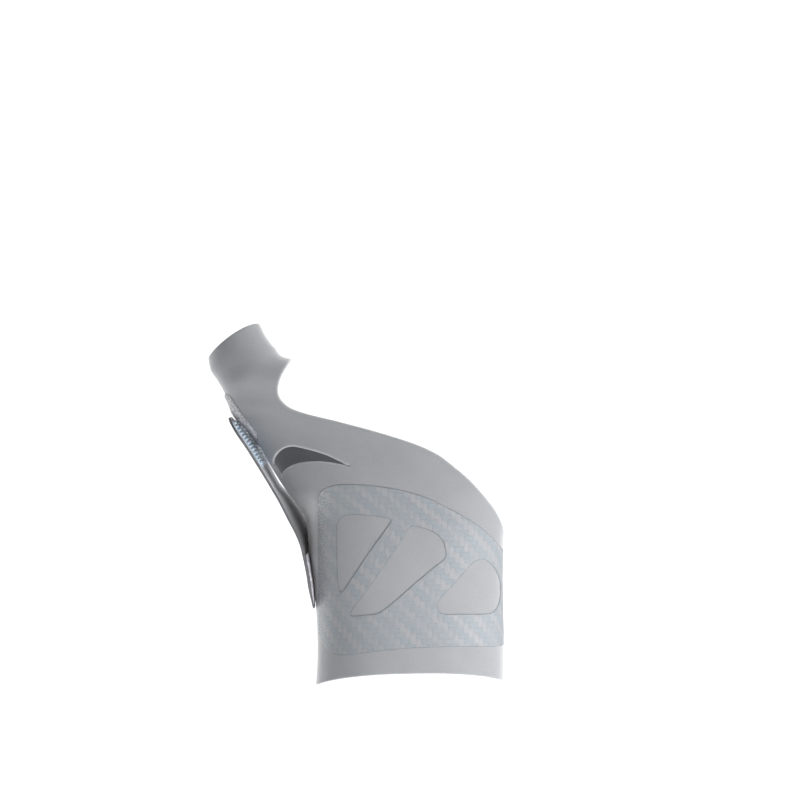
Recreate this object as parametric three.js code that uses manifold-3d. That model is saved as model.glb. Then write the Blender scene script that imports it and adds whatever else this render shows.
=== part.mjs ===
// Thumb spica splint: a thin elastic sleeve for the wrist and the thumb, kept in its worn form.
// Millimetres. +Z runs up from the wrist opening, -Y is the near side, which carries the film and the
// slit, and the thumb's collar leans towards -X. The origin is the centre of the wrist opening.

import * as THREE from "three";
import { mergeVertices } from "three/addons/utils/BufferGeometryUtils.js";
import Module from "manifold-3d";

const wasm = await Module();
wasm.setup();

// Driving sizes
const CUFF_WIDTH = 66.6;
const CUFF_DEPTH = 42;
const SLEEVE_HEIGHT = 127.7;
const SLEEVE_WALL = 1.2;
const FILM_THICKNESS = 0.6;
const PATCH_THICKNESS = 0.7;
const PAD_THICKNESS = 0.7;
const STRAP_THICKNESS = 1;
const STRAP_WIDTH = 25;
const STRAP_TIP_RADIUS = 9;
const UPPER_PAD_LENGTH = 19;
const LOWER_PAD_LENGTH = 18;
const PAD_CORNER = 3;

// Clearances
const SEAT_GAP = 0.3;
const PAD_EDGE_MARGIN = 0.8;
const PAD_TIP_MARGIN = 1.6;
const CUT_OVERLAP = 0.05;

// Fineness of the surfaces
const STEPS_AROUND = 40;
const STEPS_PER_SECTION = 2;
const OUTLINE_STEP = 2.4;
const STRAP_STEP = 1.5;
const STRAP_STEPS_ACROSS = 4;
const TIP_STEPS = 4;
const TUBE_OVERRUN = 3;
const PROBE = 1e-3;
const MERGE_WITHIN = 1e-5;
const STRAP_CURVE_STEPS = 400;

// Sections of the sleeve from the wrist hem to the thumb opening. Each one is a flattened loop whose
// thumb side is at lx, lz and whose other side is at rx, rz. Widths are shares of CUFF_WIDTH, heights
// and the rises of the near and far wall are shares of SLEEVE_HEIGHT, half the depth and the place of
// the middle are shares of CUFF_DEPTH, and full is the loop's exponent, 2 for an ellipse.
const SECTIONS = [
  { lx: -0.502, lz: 0.0, rx: 0.497, rz: 0.011, deep: 0.5, mid: 0, near: 0.028, far: 0.039, full: 2.35 },
  { lx: -0.494, lz: 0.07, rx: 0.497, rz: 0.07, deep: 0.5, mid: 0, near: 0.013, far: 0.017, full: 2.35 },
  { lx: -0.495, lz: 0.157, rx: 0.497, rz: 0.141, deep: 0.5, mid: 0, near: 0.004, far: 0.005, full: 2.35 },
  { lx: -0.505, lz: 0.235, rx: 0.494, rz: 0.211, deep: 0.507, mid: 0, near: 0, far: 0, full: 2.35 },
  { lx: -0.523, lz: 0.325, rx: 0.492, rz: 0.286, deep: 0.514, mid: 0, near: 0, far: 0, full: 2.35 },
  { lx: -0.542, lz: 0.395, rx: 0.494, rz: 0.356, deep: 0.514, mid: 0.005, near: 0, far: 0, full: 2.35 },
  { lx: -0.56, lz: 0.464, rx: 0.503, rz: 0.423, deep: 0.505, mid: 0.012, near: 0, far: 0, full: 2.35 },
  { lx: -0.625, lz: 0.512, rx: 0.523, rz: 0.486, deep: 0.49, mid: 0.019, near: 0, far: 0, full: 2.3 },
  { lx: -0.682, lz: 0.554, rx: 0.545, rz: 0.548, deep: 0.476, mid: 0.029, near: 0, far: 0, full: 2.3 },
  { lx: -0.73, lz: 0.594, rx: 0.559, rz: 0.611, deep: 0.457, mid: 0.038, near: 0, far: 0, full: 2.25 },
  { lx: -0.766, lz: 0.626, rx: 0.548, rz: 0.673, deep: 0.438, mid: 0.048, near: 0, far: 0, full: 2.25 },
  { lx: -0.82, lz: 0.675, rx: 0.48, rz: 0.744, deep: 0.41, mid: 0.057, near: 0, far: 0, full: 2.2 },
  { lx: -0.889, lz: 0.722, rx: 0.315, rz: 0.81, deep: 0.381, mid: 0.067, near: 0, far: 0, full: 2.2 },
  { lx: -0.937, lz: 0.755, rx: 0.06, rz: 0.854, deep: 0.357, mid: 0.071, near: 0, far: 0, full: 2.15 },
  { lx: -0.964, lz: 0.782, rx: -0.27, rz: 0.885, deep: 0.333, mid: 0.081, near: 0, far: 0, full: 2.1 },
  { lx: -0.994, lz: 0.812, rx: -0.644, rz: 0.905, deep: 0.302, mid: 0.093, near: 0.002, far: -0.002, full: 2.05 },
  { lx: -1.029, lz: 0.843, rx: -0.725, rz: 0.937, deep: 0.276, mid: 0.112, near: 0.007, far: -0.007, full: 2.05 },
  { lx: -1.066, lz: 0.872, rx: -0.773, rz: 0.969, deep: 0.26, mid: 0.131, near: 0.013, far: -0.013, full: 2.05 },
  { lx: -1.08, lz: 0.905, rx: -0.802, rz: 1.0, deep: 0.248, mid: 0.15, near: 0.019, far: -0.019, full: 2.05 },
];

// How flat the rise of a wall starts at the loop's two ends.
const RISE_POWER = 1.5;

// Where the near and the far wall part and how far a cut reaches, as shares of CUFF_DEPTH.
const PARTING_SHARE = 0.05;
const REACH_SHARE = 2;

// Rows of SECTIONS that the film and the loop patch lie between.
const FILM_ROWS = { first: 0, last: 9 };
const PATCH_ROWS = { first: 10, last: 17 };

// Outlines hold x as a share of CUFF_WIDTH and z as a share of SLEEVE_HEIGHT.
// The edge of the hand opening runs from the foot of the thumb's collar to the far end of the cuff.
const OPEN_EDGE_NEAR = [
  [-0.641, 0.904], [-0.682, 0.865], [-0.7, 0.839], [-0.706, 0.819], [-0.701, 0.799], [-0.682, 0.783],
  [-0.646, 0.767], [-0.58, 0.753], [-0.377, 0.727], [-0.18, 0.7], [0.041, 0.663], [0.146, 0.637],
  [0.216, 0.61], [0.305, 0.571], [0.384, 0.527], [0.446, 0.486], [0.482, 0.453], [0.502, 0.425],
];
const OPEN_EDGE_FAR = [
  [-0.641, 0.904], [-0.694, 0.872], [-0.727, 0.841], [-0.739, 0.813], [-0.727, 0.782], [-0.685, 0.75],
  [-0.601, 0.724], [-0.375, 0.684], [-0.15, 0.634], [0.15, 0.544], [0.405, 0.457], [0.502, 0.425],
];
const BEYOND_OPENING = [[2, 0.425], [2, 2], [-0.57, 2], [-0.57, 0.945]];
const SLIT_OUTLINE = [
  [-0.689, 0.576], [-0.715, 0.594], [-0.734, 0.612], [-0.73, 0.627], [-0.71, 0.644], [-0.67, 0.659],
  [-0.625, 0.664], [-0.568, 0.659], [-0.444, 0.641], [-0.344, 0.616], [-0.32, 0.609], [-0.321, 0.605],
  [-0.363, 0.61], [-0.485, 0.618], [-0.601, 0.611], [-0.665, 0.594], [-0.682, 0.581],
];
const FILM_TOP = [
  [-0.48, 0.517], [-0.468, 0.54], [-0.444, 0.551], [-0.395, 0.555], [-0.26, 0.554], [-0.129, 0.546],
  [0.002, 0.529], [0.123, 0.51], [0.23, 0.485], [0.317, 0.459], [0.39, 0.432], [0.465, 0.388],
  [0.512, 0.362],
];
const FILM_BOTTOM = [
  [0.512, 0.11], [0.458, 0.105], [0.311, 0.106], [-0.017, 0.097], [-0.26, 0.082], [-0.317, 0.077],
  [-0.423, 0.088], [-0.468, 0.103], [-0.482, 0.129],
];
const FILM_END_SHARE = 0.4;
const FILM_WINDOWS = [
  [
    [-0.383, 0.432], [-0.369, 0.457], [-0.33, 0.467], [-0.219, 0.466], [-0.129, 0.46], [-0.104, 0.448],
    [-0.135, 0.421], [-0.26, 0.329], [-0.33, 0.277], [-0.363, 0.257], [-0.378, 0.266], [-0.386, 0.301],
  ],
  [
    [0.021, 0.435], [0.09, 0.429], [0.149, 0.412], [0.185, 0.39], [0.194, 0.363], [0.174, 0.341],
    [0.066, 0.299], [-0.15, 0.203], [-0.188, 0.194], [-0.279, 0.187], [-0.314, 0.193], [-0.308, 0.207],
    [-0.179, 0.295], [-0.024, 0.417],
  ],
  [
    [0.36, 0.344], [0.417, 0.334], [0.458, 0.312], [0.482, 0.282], [0.479, 0.24], [0.458, 0.208],
    [0.408, 0.193], [0.294, 0.192], [0.195, 0.193], [0.165, 0.2], [0.159, 0.222], [0.179, 0.247],
    [0.309, 0.326],
  ],
];
const PATCH_NEAR_EDGE = [
  [-1.2, 0.807], [-0.98, 0.806], [-0.952, 0.797], [-0.89, 0.748], [-0.827, 0.71], [-0.811, 0.695],
  [-0.809, 0.683], [-0.817, 0.669], [-0.838, 0.66], [-1.2, 0.66],
];
const PATCH_FAR_EDGE = [
  [-1.2, 0.807], [-0.98, 0.806], [-0.94, 0.797], [-0.86, 0.748], [-0.79, 0.695], [-0.78, 0.67],
  [-0.8, 0.66], [-1.2, 0.66],
];

// The line on which the strap's near edge would lie against the bare sleeve, from its upper tip down,
// in the same shares, with the turn of its width away from straight back in degrees.
const STRAP_LINE = [
  { x: -0.948, z: 0.748, turn: 2 },
  { x: -0.916, z: 0.721, turn: 4 },
  { x: -0.843, z: 0.668, turn: 5.8 },
  { x: -0.764, z: 0.607, turn: 6.2 },
  { x: -0.695, z: 0.554, turn: 6.2 },
  { x: -0.655, z: 0.518, turn: 8 },
  { x: -0.607, z: 0.471, turn: 11.5 },
  { x: -0.566, z: 0.426, turn: 12 },
  { x: -0.551, z: 0.392, turn: 8.8 },
  { x: -0.541, z: 0.36, turn: 5.2 },
  { x: -0.521, z: 0.325, turn: 3 },
  { x: -0.507, z: 0.285, turn: 2.2 },
  { x: -0.4935, z: 0.214, turn: 2 },
];
// The near edge of the strap lies this share of STRAP_WIDTH in front of the sleeve's middle.
const STRAP_NEAR_SHARE = 0.48;
// The sleeve's middle beside the strap, from its upper tip to its lower one, as shares of CUFF_DEPTH.
const STRAP_MIDDLE = [0.065, 0.05, 0.02, 0, 0];

// Curves and plain solids

function mix(a, b, share) {
  return a + (b - a) * share;
}

// Value of a smooth line through the four numbers, between the middle two.
function smooth(p, q, r, s, t) {
  const bend = (3 * (q - r) + s - p) * t * t * t;
  const sag = (2 * p - 5 * q + 4 * r - s) * t * t;
  return q + ((r - p) * t + sag + bend) / 2;
}

// Row of a table of named columns at the place v, counted in rows.
function rowAt(table, v) {
  const last = table.length - 1;
  const at = Math.min(Math.max(v, 0), last);
  const low = Math.min(Math.floor(at), last - 1);
  const pick = (offset, key) => table[Math.min(Math.max(low + offset, 0), last)][key];
  const row = {};
  for (const key of Object.keys(table[0])) {
    row[key] = smooth(pick(-1, key), pick(0, key), pick(1, key), pick(2, key), at - low);
  }
  return row;
}

function toMillimetres(outline) {
  return outline.map(([x, z]) => new THREE.Vector3(x * CUFF_WIDTH, 0, z * SLEEVE_HEIGHT));
}

// Points of a smooth line through an outline, about OUTLINE_STEP apart.
function smoothOutline(outline, closed) {
  const curve = new THREE.CatmullRomCurve3(toMillimetres(outline), closed, "centripetal");
  const count = Math.ceil(curve.getLength() / OUTLINE_STEP);
  const points = curve.getSpacedPoints(count);
  return closed ? points.slice(0, -1) : points;
}

function toManifold(geometry) {
  const bare = geometry.clone();
  bare.deleteAttribute("normal");
  bare.deleteAttribute("uv");
  const merged = mergeVertices(bare, MERGE_WITHIN);
  const mesh = new wasm.Mesh({
    numProp: 3,
    vertProperties: new Float32Array(merged.attributes.position.array),
    triVerts: new Uint32Array(merged.index.array),
  });
  return new wasm.Manifold(mesh);
}

// Closed solid through rings of equally many points, each ring turning left as seen from the next.
function solidFromRings(rings) {
  const count = rings[0].length;
  const last = rings.length - 1;
  const total = (ring) => ring.reduce((sum, p) => sum.add(p), new THREE.Vector3());
  const centre = (ring) => total(ring).divideScalar(count);
  const points = [...rings.flat(), centre(rings[0]), centre(rings[last])];
  const foot = count * rings.length;
  const index = [];
  for (let j = 0; j < last; j += 1) {
    for (let i = 0; i < count; i += 1) {
      const a = j * count + i;
      const b = j * count + ((i + 1) % count);
      index.push(a, b, b + count, a, b + count, a + count);
    }
  }
  for (let i = 0; i < count; i += 1) {
    const next = (i + 1) % count;
    index.push(foot, next, i, foot + 1, last * count + i, last * count + next);
  }
  const geometry = new THREE.BufferGeometry().setFromPoints(points);
  geometry.setIndex(index);
  return toManifold(geometry);
}

// Solid that holds all that lies behind an outline seen from the front, between two depths.
function prism(points, yNear, yFar) {
  const shape = new THREE.Shape(points.map((p) => new THREE.Vector2(p.x, p.z)));
  const geometry = new THREE.ExtrudeGeometry(shape, { depth: yFar - yNear, bevelEnabled: false });
  geometry.rotateX(Math.PI / 2);
  geometry.translate(0, yFar, 0);
  return toManifold(geometry);
}

const Y_PARTING = PARTING_SHARE * CUFF_DEPTH;
const Y_REACH = REACH_SHARE * CUFF_DEPTH;

function nearPrism(points) {
  return prism(points, -Y_REACH, Y_PARTING + CUT_OVERLAP);
}

function farPrism(points) {
  return prism(points, Y_PARTING, Y_REACH);
}

// The sleeve's form

// Point of the sleeve's outer face: v counts sections, turn is 0 on the +X side and goes round by
// the far side, the -X side and the near side.
function facePoint(v, turn) {
  const row = rowAt(SECTIONS, v);
  const angle = 2 * Math.PI * turn;
  const power = 2 / row.full;
  const across = Math.sign(Math.cos(angle)) * Math.abs(Math.cos(angle)) ** power;
  const deep = Math.sign(Math.sin(angle)) * Math.abs(Math.sin(angle)) ** power;
  const rise = deep > 0 ? row.far : row.near;
  const share = (1 + across) / 2;
  return new THREE.Vector3(
    mix(row.lx, row.rx, share) * CUFF_WIDTH,
    (row.mid + row.deep * deep) * CUFF_DEPTH,
    (mix(row.lz, row.rz, share) + rise * Math.abs(deep) ** RISE_POWER) * SLEEVE_HEIGHT,
  );
}

function faceSlope(v, turn) {
  const low = Math.max(v - PROBE, 0);
  const high = Math.min(v + PROBE, SECTIONS.length - 1);
  return facePoint(high, turn).sub(facePoint(low, turn)).normalize();
}

// Point off the sleeve's outer face by a distance, outwards if positive.
function offPoint(v, turn, off) {
  const along = faceSlope(v, turn);
  const round = facePoint(v, turn + PROBE).sub(facePoint(v, turn - PROBE));
  return facePoint(v, turn).addScaledVector(round.cross(along).normalize(), off);
}

// Solid inside the face that lies off the sleeve by a distance, between two places along it.
function tube(off, from, to, overrun) {
  const rings = [];
  const steps = Math.round((to - from) * STEPS_PER_SECTION);
  const ring = (v, shift) => {
    const points = [];
    for (let i = 0; i < STEPS_AROUND; i += 1) {
      const turn = i / STEPS_AROUND;
      points.push(offPoint(v, turn, off).addScaledVector(faceSlope(v, turn), shift));
    }
    return points;
  };
  if (overrun > 0) {
    rings.push(ring(from, -overrun));
  }
  for (let j = 0; j <= steps; j += 1) {
    rings.push(ring(mix(from, to, j / steps), 0));
  }
  if (overrun > 0) {
    rings.push(ring(to, overrun));
  }
  return solidFromRings(rings);
}

// Skin of the given thickness whose inner face lies off the sleeve by a distance.
function skin(off, thickness, from, to) {
  return tube(off + thickness, from, to, 0).subtract(tube(off, from, to, TUBE_OVERRUN));
}

// Pieces

function makeSleeve() {
  const shell = skin(-SLEEVE_WALL, SLEEVE_WALL, 0, SECTIONS.length - 1);
  const beyond = toMillimetres(BEYOND_OPENING);
  const nearCut = nearPrism([...smoothOutline(OPEN_EDGE_NEAR, false), ...beyond]);
  const farCut = farPrism([...smoothOutline(OPEN_EDGE_FAR, false), ...beyond]);
  const slitCut = nearPrism(smoothOutline(SLIT_OUTLINE, true));
  return shell.subtract(nearCut).subtract(farCut).subtract(slitCut);
}

function makeSupportFilm() {
  const top = smoothOutline(FILM_TOP, false);
  const bottom = smoothOutline(FILM_BOTTOM, false);
  const topEnd = FILM_TOP.at(-1)[1];
  const bottomEnd = FILM_BOTTOM[0][1];
  const side = toMillimetres([[1, topEnd], [1, bottomEnd]]);
  const farEnd = toMillimetres([[FILM_END_SHARE, topEnd], [FILM_END_SHARE, bottomEnd]]);
  const wrap = [farEnd[1], side[1], side[0], farEnd[0]];
  const cover = nearPrism([...top, ...side, ...bottom]).add(farPrism(wrap));
  const windows = FILM_WINDOWS.map((outline) => nearPrism(smoothOutline(outline, true)));
  const sheet = skin(SEAT_GAP, FILM_THICKNESS, FILM_ROWS.first, FILM_ROWS.last).intersect(cover);
  return windows.reduce((rest, window) => rest.subtract(window), sheet);
}

function makeLoopPatch() {
  const nearCover = nearPrism(smoothOutline(PATCH_NEAR_EDGE, false));
  const farCover = farPrism(smoothOutline(PATCH_FAR_EDGE, false));
  const sheet = skin(SEAT_GAP, PATCH_THICKNESS, PATCH_ROWS.first, PATCH_ROWS.last);
  return sheet.intersect(nearCover.add(farCover));
}

// Length of the strap's line, its place at each row, and its frame at a distance from the upper tip.
const strapCurve = new THREE.CatmullRomCurve3(
  toMillimetres(STRAP_LINE.map((row) => [row.x, row.z])),
  false,
  "centripetal",
);
strapCurve.arcLengthDivisions = STRAP_CURVE_STEPS;
const STRAP_LENGTH = strapCurve.getLength();
const LOWER_PAD_START = STRAP_LENGTH - PAD_TIP_MARGIN - LOWER_PAD_LENGTH;
const STRAP_STACK = PATCH_THICKNESS + 2 * SEAT_GAP;

function strapFrame(distance) {
  const share = distance / STRAP_LENGTH;
  const place = strapCurve.getUtoTmapping(share);
  const point = strapCurve.getPoint(place);
  const along = strapCurve.getTangent(place);
  const turn = THREE.MathUtils.degToRad(rowAt(STRAP_LINE, place * (STRAP_LINE.length - 1)).turn);
  const middleRows = STRAP_MIDDLE.map((y) => ({ y }));
  const middle = rowAt(middleRows, share * (middleRows.length - 1)).y * CUFF_DEPTH;
  const inward = new THREE.Vector3(-along.z, 0, along.x);
  const back = new THREE.Vector3(0, 1, 0);
  const across = back.clone().multiplyScalar(Math.cos(turn)).addScaledVector(inward, Math.sin(turn));
  const outward = back.multiplyScalar(Math.sin(turn)).addScaledVector(inward, -Math.cos(turn));
  point.y = middle - STRAP_NEAR_SHARE * STRAP_WIDTH;
  point.addScaledVector(inward, -STRAP_STACK);
  return { point, across, outward };
}

// Ribbon on the strap's line, between two distances along it and two across it, with round corners.
// The face towards the sleeve is lift away from where the strap meets what it is pressed on.
function ribbon({ from, to, nearSide, farSide, lift, thickness, corner }) {
  const stops = [];
  for (let i = 0; i < TIP_STEPS; i += 1) {
    stops.push(corner * (1 - Math.cos((Math.PI / 2) * (i / TIP_STEPS))));
  }
  const straight = to - from - 2 * corner;
  const count = Math.ceil(straight / STRAP_STEP);
  const distances = [
    ...stops.map((d) => from + d),
    ...Array.from({ length: count + 1 }, (_, i) => from + corner + (straight * i) / count),
    ...stops.reverse().map((d) => to - d),
  ];
  const rings = distances.map((distance) => {
    const nearEnd = Math.min(distance - from, to - distance, corner);
    const inset = corner - Math.sqrt(Math.max(corner ** 2 - (corner - nearEnd) ** 2, 0));
    const { point, across, outward } = strapFrame(distance);
    const inner = [];
    const outer = [];
    for (let k = 0; k <= STRAP_STEPS_ACROSS; k += 1) {
      const side = mix(nearSide + inset, farSide - inset, k / STRAP_STEPS_ACROSS);
      const base = point.clone().addScaledVector(across, side).addScaledVector(outward, lift);
      inner.push(base);
      outer.unshift(base.clone().addScaledVector(outward, thickness));
    }
    return [...inner, ...outer];
  });
  const solid = solidFromRings(rings);
  return solid.volume() > 0 ? solid : solidFromRings(rings.reverse());
}

function makeStrap() {
  return ribbon({
    from: 0,
    to: STRAP_LENGTH,
    nearSide: 0,
    farSide: STRAP_WIDTH,
    lift: PAD_THICKNESS + SEAT_GAP,
    thickness: STRAP_THICKNESS,
    corner: STRAP_TIP_RADIUS,
  });
}

function makePad(from, length) {
  return ribbon({
    from,
    to: from + length,
    nearSide: PAD_EDGE_MARGIN,
    farSide: STRAP_WIDTH - PAD_EDGE_MARGIN,
    lift: 0,
    thickness: PAD_THICKNESS,
    corner: PAD_CORNER,
  });
}

// Meshes

function addPiece(group, name, solid, color, roughness) {
  const mesh = solid.getMesh();
  const positions = new Float32Array(mesh.vertProperties);
  const geometry = new THREE.BufferGeometry();
  geometry.setAttribute("position", new THREE.BufferAttribute(positions, 3));
  geometry.setIndex(new THREE.BufferAttribute(new Uint32Array(mesh.triVerts), 1));
  geometry.computeVertexNormals();
  const material = new THREE.MeshStandardMaterial({ color, roughness, metalness: 0 });
  const piece = new THREE.Mesh(geometry, material);
  piece.name = name;
  group.add(piece);
}

const splint = new THREE.Group();
addPiece(splint, "sleeve", makeSleeve(), 0xa9acb1, 0.85);
addPiece(splint, "support_film", makeSupportFilm(), 0x9aa3a8, 0.45);
addPiece(splint, "loop_patch", makeLoopPatch(), 0xa5a5aa, 0.95);
addPiece(splint, "strap", makeStrap(), 0xa6a9ae, 0.8);
addPiece(splint, "upper_hook_pad", makePad(PAD_TIP_MARGIN, UPPER_PAD_LENGTH), 0xaab8c4, 0.7);
addPiece(splint, "lower_hook_pad", makePad(LOWER_PAD_START, LOWER_PAD_LENGTH), 0x9c99ab, 0.9);

export default splint;
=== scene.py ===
import math

import bpy
import numpy as np
from bpy.props import FloatProperty, FloatVectorProperty, IntProperty, PointerProperty
from bpy.types import Operator, Panel, PropertyGroup
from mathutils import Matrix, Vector


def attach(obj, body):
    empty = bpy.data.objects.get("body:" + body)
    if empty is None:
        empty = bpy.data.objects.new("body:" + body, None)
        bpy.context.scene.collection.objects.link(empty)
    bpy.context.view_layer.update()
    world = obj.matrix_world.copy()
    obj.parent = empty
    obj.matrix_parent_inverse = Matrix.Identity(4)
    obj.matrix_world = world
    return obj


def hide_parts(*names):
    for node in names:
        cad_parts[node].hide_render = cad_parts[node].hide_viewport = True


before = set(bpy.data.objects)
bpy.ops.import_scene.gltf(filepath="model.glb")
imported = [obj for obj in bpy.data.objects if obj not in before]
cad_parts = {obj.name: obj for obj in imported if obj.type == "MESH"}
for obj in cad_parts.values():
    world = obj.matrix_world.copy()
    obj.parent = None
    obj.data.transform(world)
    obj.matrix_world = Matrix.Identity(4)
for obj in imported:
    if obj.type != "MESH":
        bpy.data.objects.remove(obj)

bl_info = {
    "name": "Thumb spica splint",
    "version": (1, 0, 0),
    "blender": (4, 5, 0),
    "location": "3D View > Sidebar > Splint",
    "description": "Dresses the packed frame of a thumb spica splint in cloth, printed film and hook tape",
    "category": "Object",
}

MM = 0.001

# Driving sizes of the frame, in millimetres
CUFF_WIDTH = 66.6
CUFF_DEPTH = 42.0
SLEEVE_HEIGHT = 127.7
STRAP_WIDTH = 25.0
STRAP_TIP_RADIUS = 9.0
PATCH_THICKNESS = 0.7
SEAT_GAP = 0.3
PAD_EDGE_MARGIN = 0.8
PAD_TIP_MARGIN = 1.6
PAD_CORNER = 3.0
UPPER_PAD_LENGTH = 19.0
LOWER_PAD_LENGTH = 18.0
PROBE = 1e-3

# Sections of the sleeve from the wrist hem to the thumb opening. Widths are shares of CUFF_WIDTH,
# heights and the rises of the near and far wall are shares of SLEEVE_HEIGHT, half the depth and the
# place of the middle are shares of CUFF_DEPTH, and full is the loop's exponent.
SECTIONS = np.array([
    (-0.502, 0.000, 0.497, 0.011, 0.500, 0.000, 0.035, 0.039, 2.35),
    (-0.494, 0.070, 0.497, 0.070, 0.500, 0.000, 0.016, 0.017, 2.35),
    (-0.495, 0.157, 0.497, 0.141, 0.500, 0.000, 0.004, 0.005, 2.35),
    (-0.505, 0.235, 0.494, 0.211, 0.507, 0.000, 0.000, 0.000, 2.35),
    (-0.523, 0.325, 0.492, 0.286, 0.514, 0.000, 0.000, 0.000, 2.35),
    (-0.542, 0.395, 0.494, 0.356, 0.514, 0.005, 0.000, 0.000, 2.35),
    (-0.560, 0.464, 0.503, 0.423, 0.505, 0.012, 0.000, 0.000, 2.35),
    (-0.625, 0.512, 0.523, 0.486, 0.490, 0.019, 0.000, 0.000, 2.30),
    (-0.682, 0.554, 0.545, 0.548, 0.476, 0.029, 0.000, 0.000, 2.30),
    (-0.730, 0.594, 0.559, 0.611, 0.457, 0.038, 0.000, 0.000, 2.25),
    (-0.766, 0.626, 0.548, 0.673, 0.438, 0.048, 0.000, 0.000, 2.25),
    (-0.820, 0.675, 0.480, 0.744, 0.410, 0.057, 0.000, 0.000, 2.20),
    (-0.889, 0.722, 0.315, 0.810, 0.381, 0.067, 0.000, 0.000, 2.20),
    (-0.937, 0.755, 0.060, 0.854, 0.357, 0.071, 0.000, 0.000, 2.15),
    (-0.964, 0.782, -0.270, 0.885, 0.333, 0.081, 0.000, 0.000, 2.10),
    (-0.994, 0.812, -0.644, 0.905, 0.302, 0.093, 0.002, -0.002, 2.05),
    (-1.029, 0.843, -0.725, 0.937, 0.276, 0.112, 0.007, -0.007, 2.05),
    (-1.066, 0.872, -0.773, 0.969, 0.260, 0.131, 0.013, -0.013, 2.05),
    (-1.080, 0.905, -0.802, 1.000, 0.248, 0.150, 0.019, -0.019, 2.05),
])
LAST_SECTION = len(SECTIONS) - 1
RISE_POWER = 1.5
PARTING_SHARE = 0.05

# Outlines seen from the front: x is a share of CUFF_WIDTH and z a share of SLEEVE_HEIGHT.
BEYOND_OPENING = [(2.0, 0.425), (2.0, 2.0), (-0.57, 2.0), (-0.57, 0.945)]
OPEN_EDGE_NEAR = [
    (-0.641, 0.904), (-0.682, 0.865), (-0.7, 0.839), (-0.706, 0.819), (-0.701, 0.799), (-0.682, 0.783),
    (-0.646, 0.767), (-0.58, 0.753), (-0.377, 0.727), (-0.18, 0.7), (0.041, 0.663), (0.146, 0.637),
    (0.216, 0.61), (0.305, 0.571), (0.384, 0.527), (0.446, 0.486), (0.482, 0.453), (0.502, 0.425),
]
OPEN_EDGE_FAR = [
    (-0.641, 0.904), (-0.694, 0.872), (-0.727, 0.841), (-0.739, 0.813), (-0.727, 0.782), (-0.685, 0.75),
    (-0.601, 0.724), (-0.375, 0.684), (-0.15, 0.634), (0.15, 0.544), (0.405, 0.457), (0.502, 0.425),
]
SLIT_OUTLINE = [
    (-0.689, 0.576), (-0.715, 0.594), (-0.734, 0.612), (-0.73, 0.627), (-0.71, 0.644), (-0.67, 0.659),
    (-0.625, 0.664), (-0.568, 0.659), (-0.444, 0.641), (-0.344, 0.616), (-0.32, 0.609), (-0.321, 0.605),
    (-0.363, 0.61), (-0.485, 0.618), (-0.601, 0.611), (-0.665, 0.594), (-0.682, 0.581),
]
FILM_TOP = [
    (-0.485, 0.517), (-0.477, 0.532), (-0.461, 0.541), (-0.429, 0.55), (-0.386, 0.555), (-0.309, 0.557),
    (-0.188, 0.553), (-0.069, 0.544), (0.037, 0.53), (0.108, 0.516), (0.178, 0.498), (0.249, 0.479),
    (0.32, 0.457), (0.391, 0.431), (0.449, 0.401), (0.512, 0.362),
]
FILM_BOTTOM = [
    (0.512, 0.112), (0.458, 0.109), (0.391, 0.11), (0.284, 0.112), (0.142, 0.111), (-0.033, 0.107),
    (-0.188, 0.098), (-0.294, 0.09), (-0.366, 0.087), (-0.416, 0.093), (-0.46, 0.113), (-0.485, 0.141),
]
FILM_END_SHARE = 0.4
FILM_WINDOWS = [
    [
        (-0.384, 0.443), (-0.372, 0.46), (-0.343, 0.471), (-0.302, 0.474), (-0.217, 0.472), (-0.136, 0.466),
        (-0.107, 0.462), (-0.102, 0.456), (-0.114, 0.446), (-0.217, 0.371), (-0.287, 0.316), (-0.339, 0.275),
        (-0.357, 0.262), (-0.369, 0.263), (-0.378, 0.278), (-0.383, 0.311), (-0.385, 0.377),
    ],
    [
        (-0.004, 0.439), (0.019, 0.442), (0.059, 0.439), (0.108, 0.43), (0.149, 0.416), (0.174, 0.401),
        (0.185, 0.378), (0.188, 0.364), (0.18, 0.353), (0.149, 0.34), (0.072, 0.308), (-0.125, 0.219),
        (-0.161, 0.206), (-0.188, 0.202), (-0.245, 0.199), (-0.287, 0.196), (-0.306, 0.196),
        (-0.313, 0.201), (-0.302, 0.215), (-0.245, 0.254), (-0.09, 0.37), (-0.033, 0.416),
    ],
    [
        (0.373, 0.351), (0.398, 0.348), (0.427, 0.336), (0.453, 0.317), (0.471, 0.294), (0.477, 0.264),
        (0.472, 0.235), (0.456, 0.214), (0.427, 0.202), (0.391, 0.2), (0.284, 0.201), (0.178, 0.202),
        (0.154, 0.208), (0.144, 0.22), (0.147, 0.235), (0.167, 0.25), (0.221, 0.279), (0.338, 0.344),
    ],
]
PATCH_NEAR_EDGE = [
    (-1.2, 0.807), (-0.98, 0.806), (-0.952, 0.797), (-0.89, 0.748), (-0.827, 0.71), (-0.811, 0.695),
    (-0.809, 0.683), (-0.817, 0.669), (-0.838, 0.66), (-1.2, 0.66),
]
PATCH_FAR_EDGE = [
    (-1.2, 0.807), (-0.98, 0.806), (-0.94, 0.797), (-0.86, 0.748), (-0.79, 0.695), (-0.78, 0.67),
    (-0.8, 0.66), (-1.2, 0.66),
]

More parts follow.
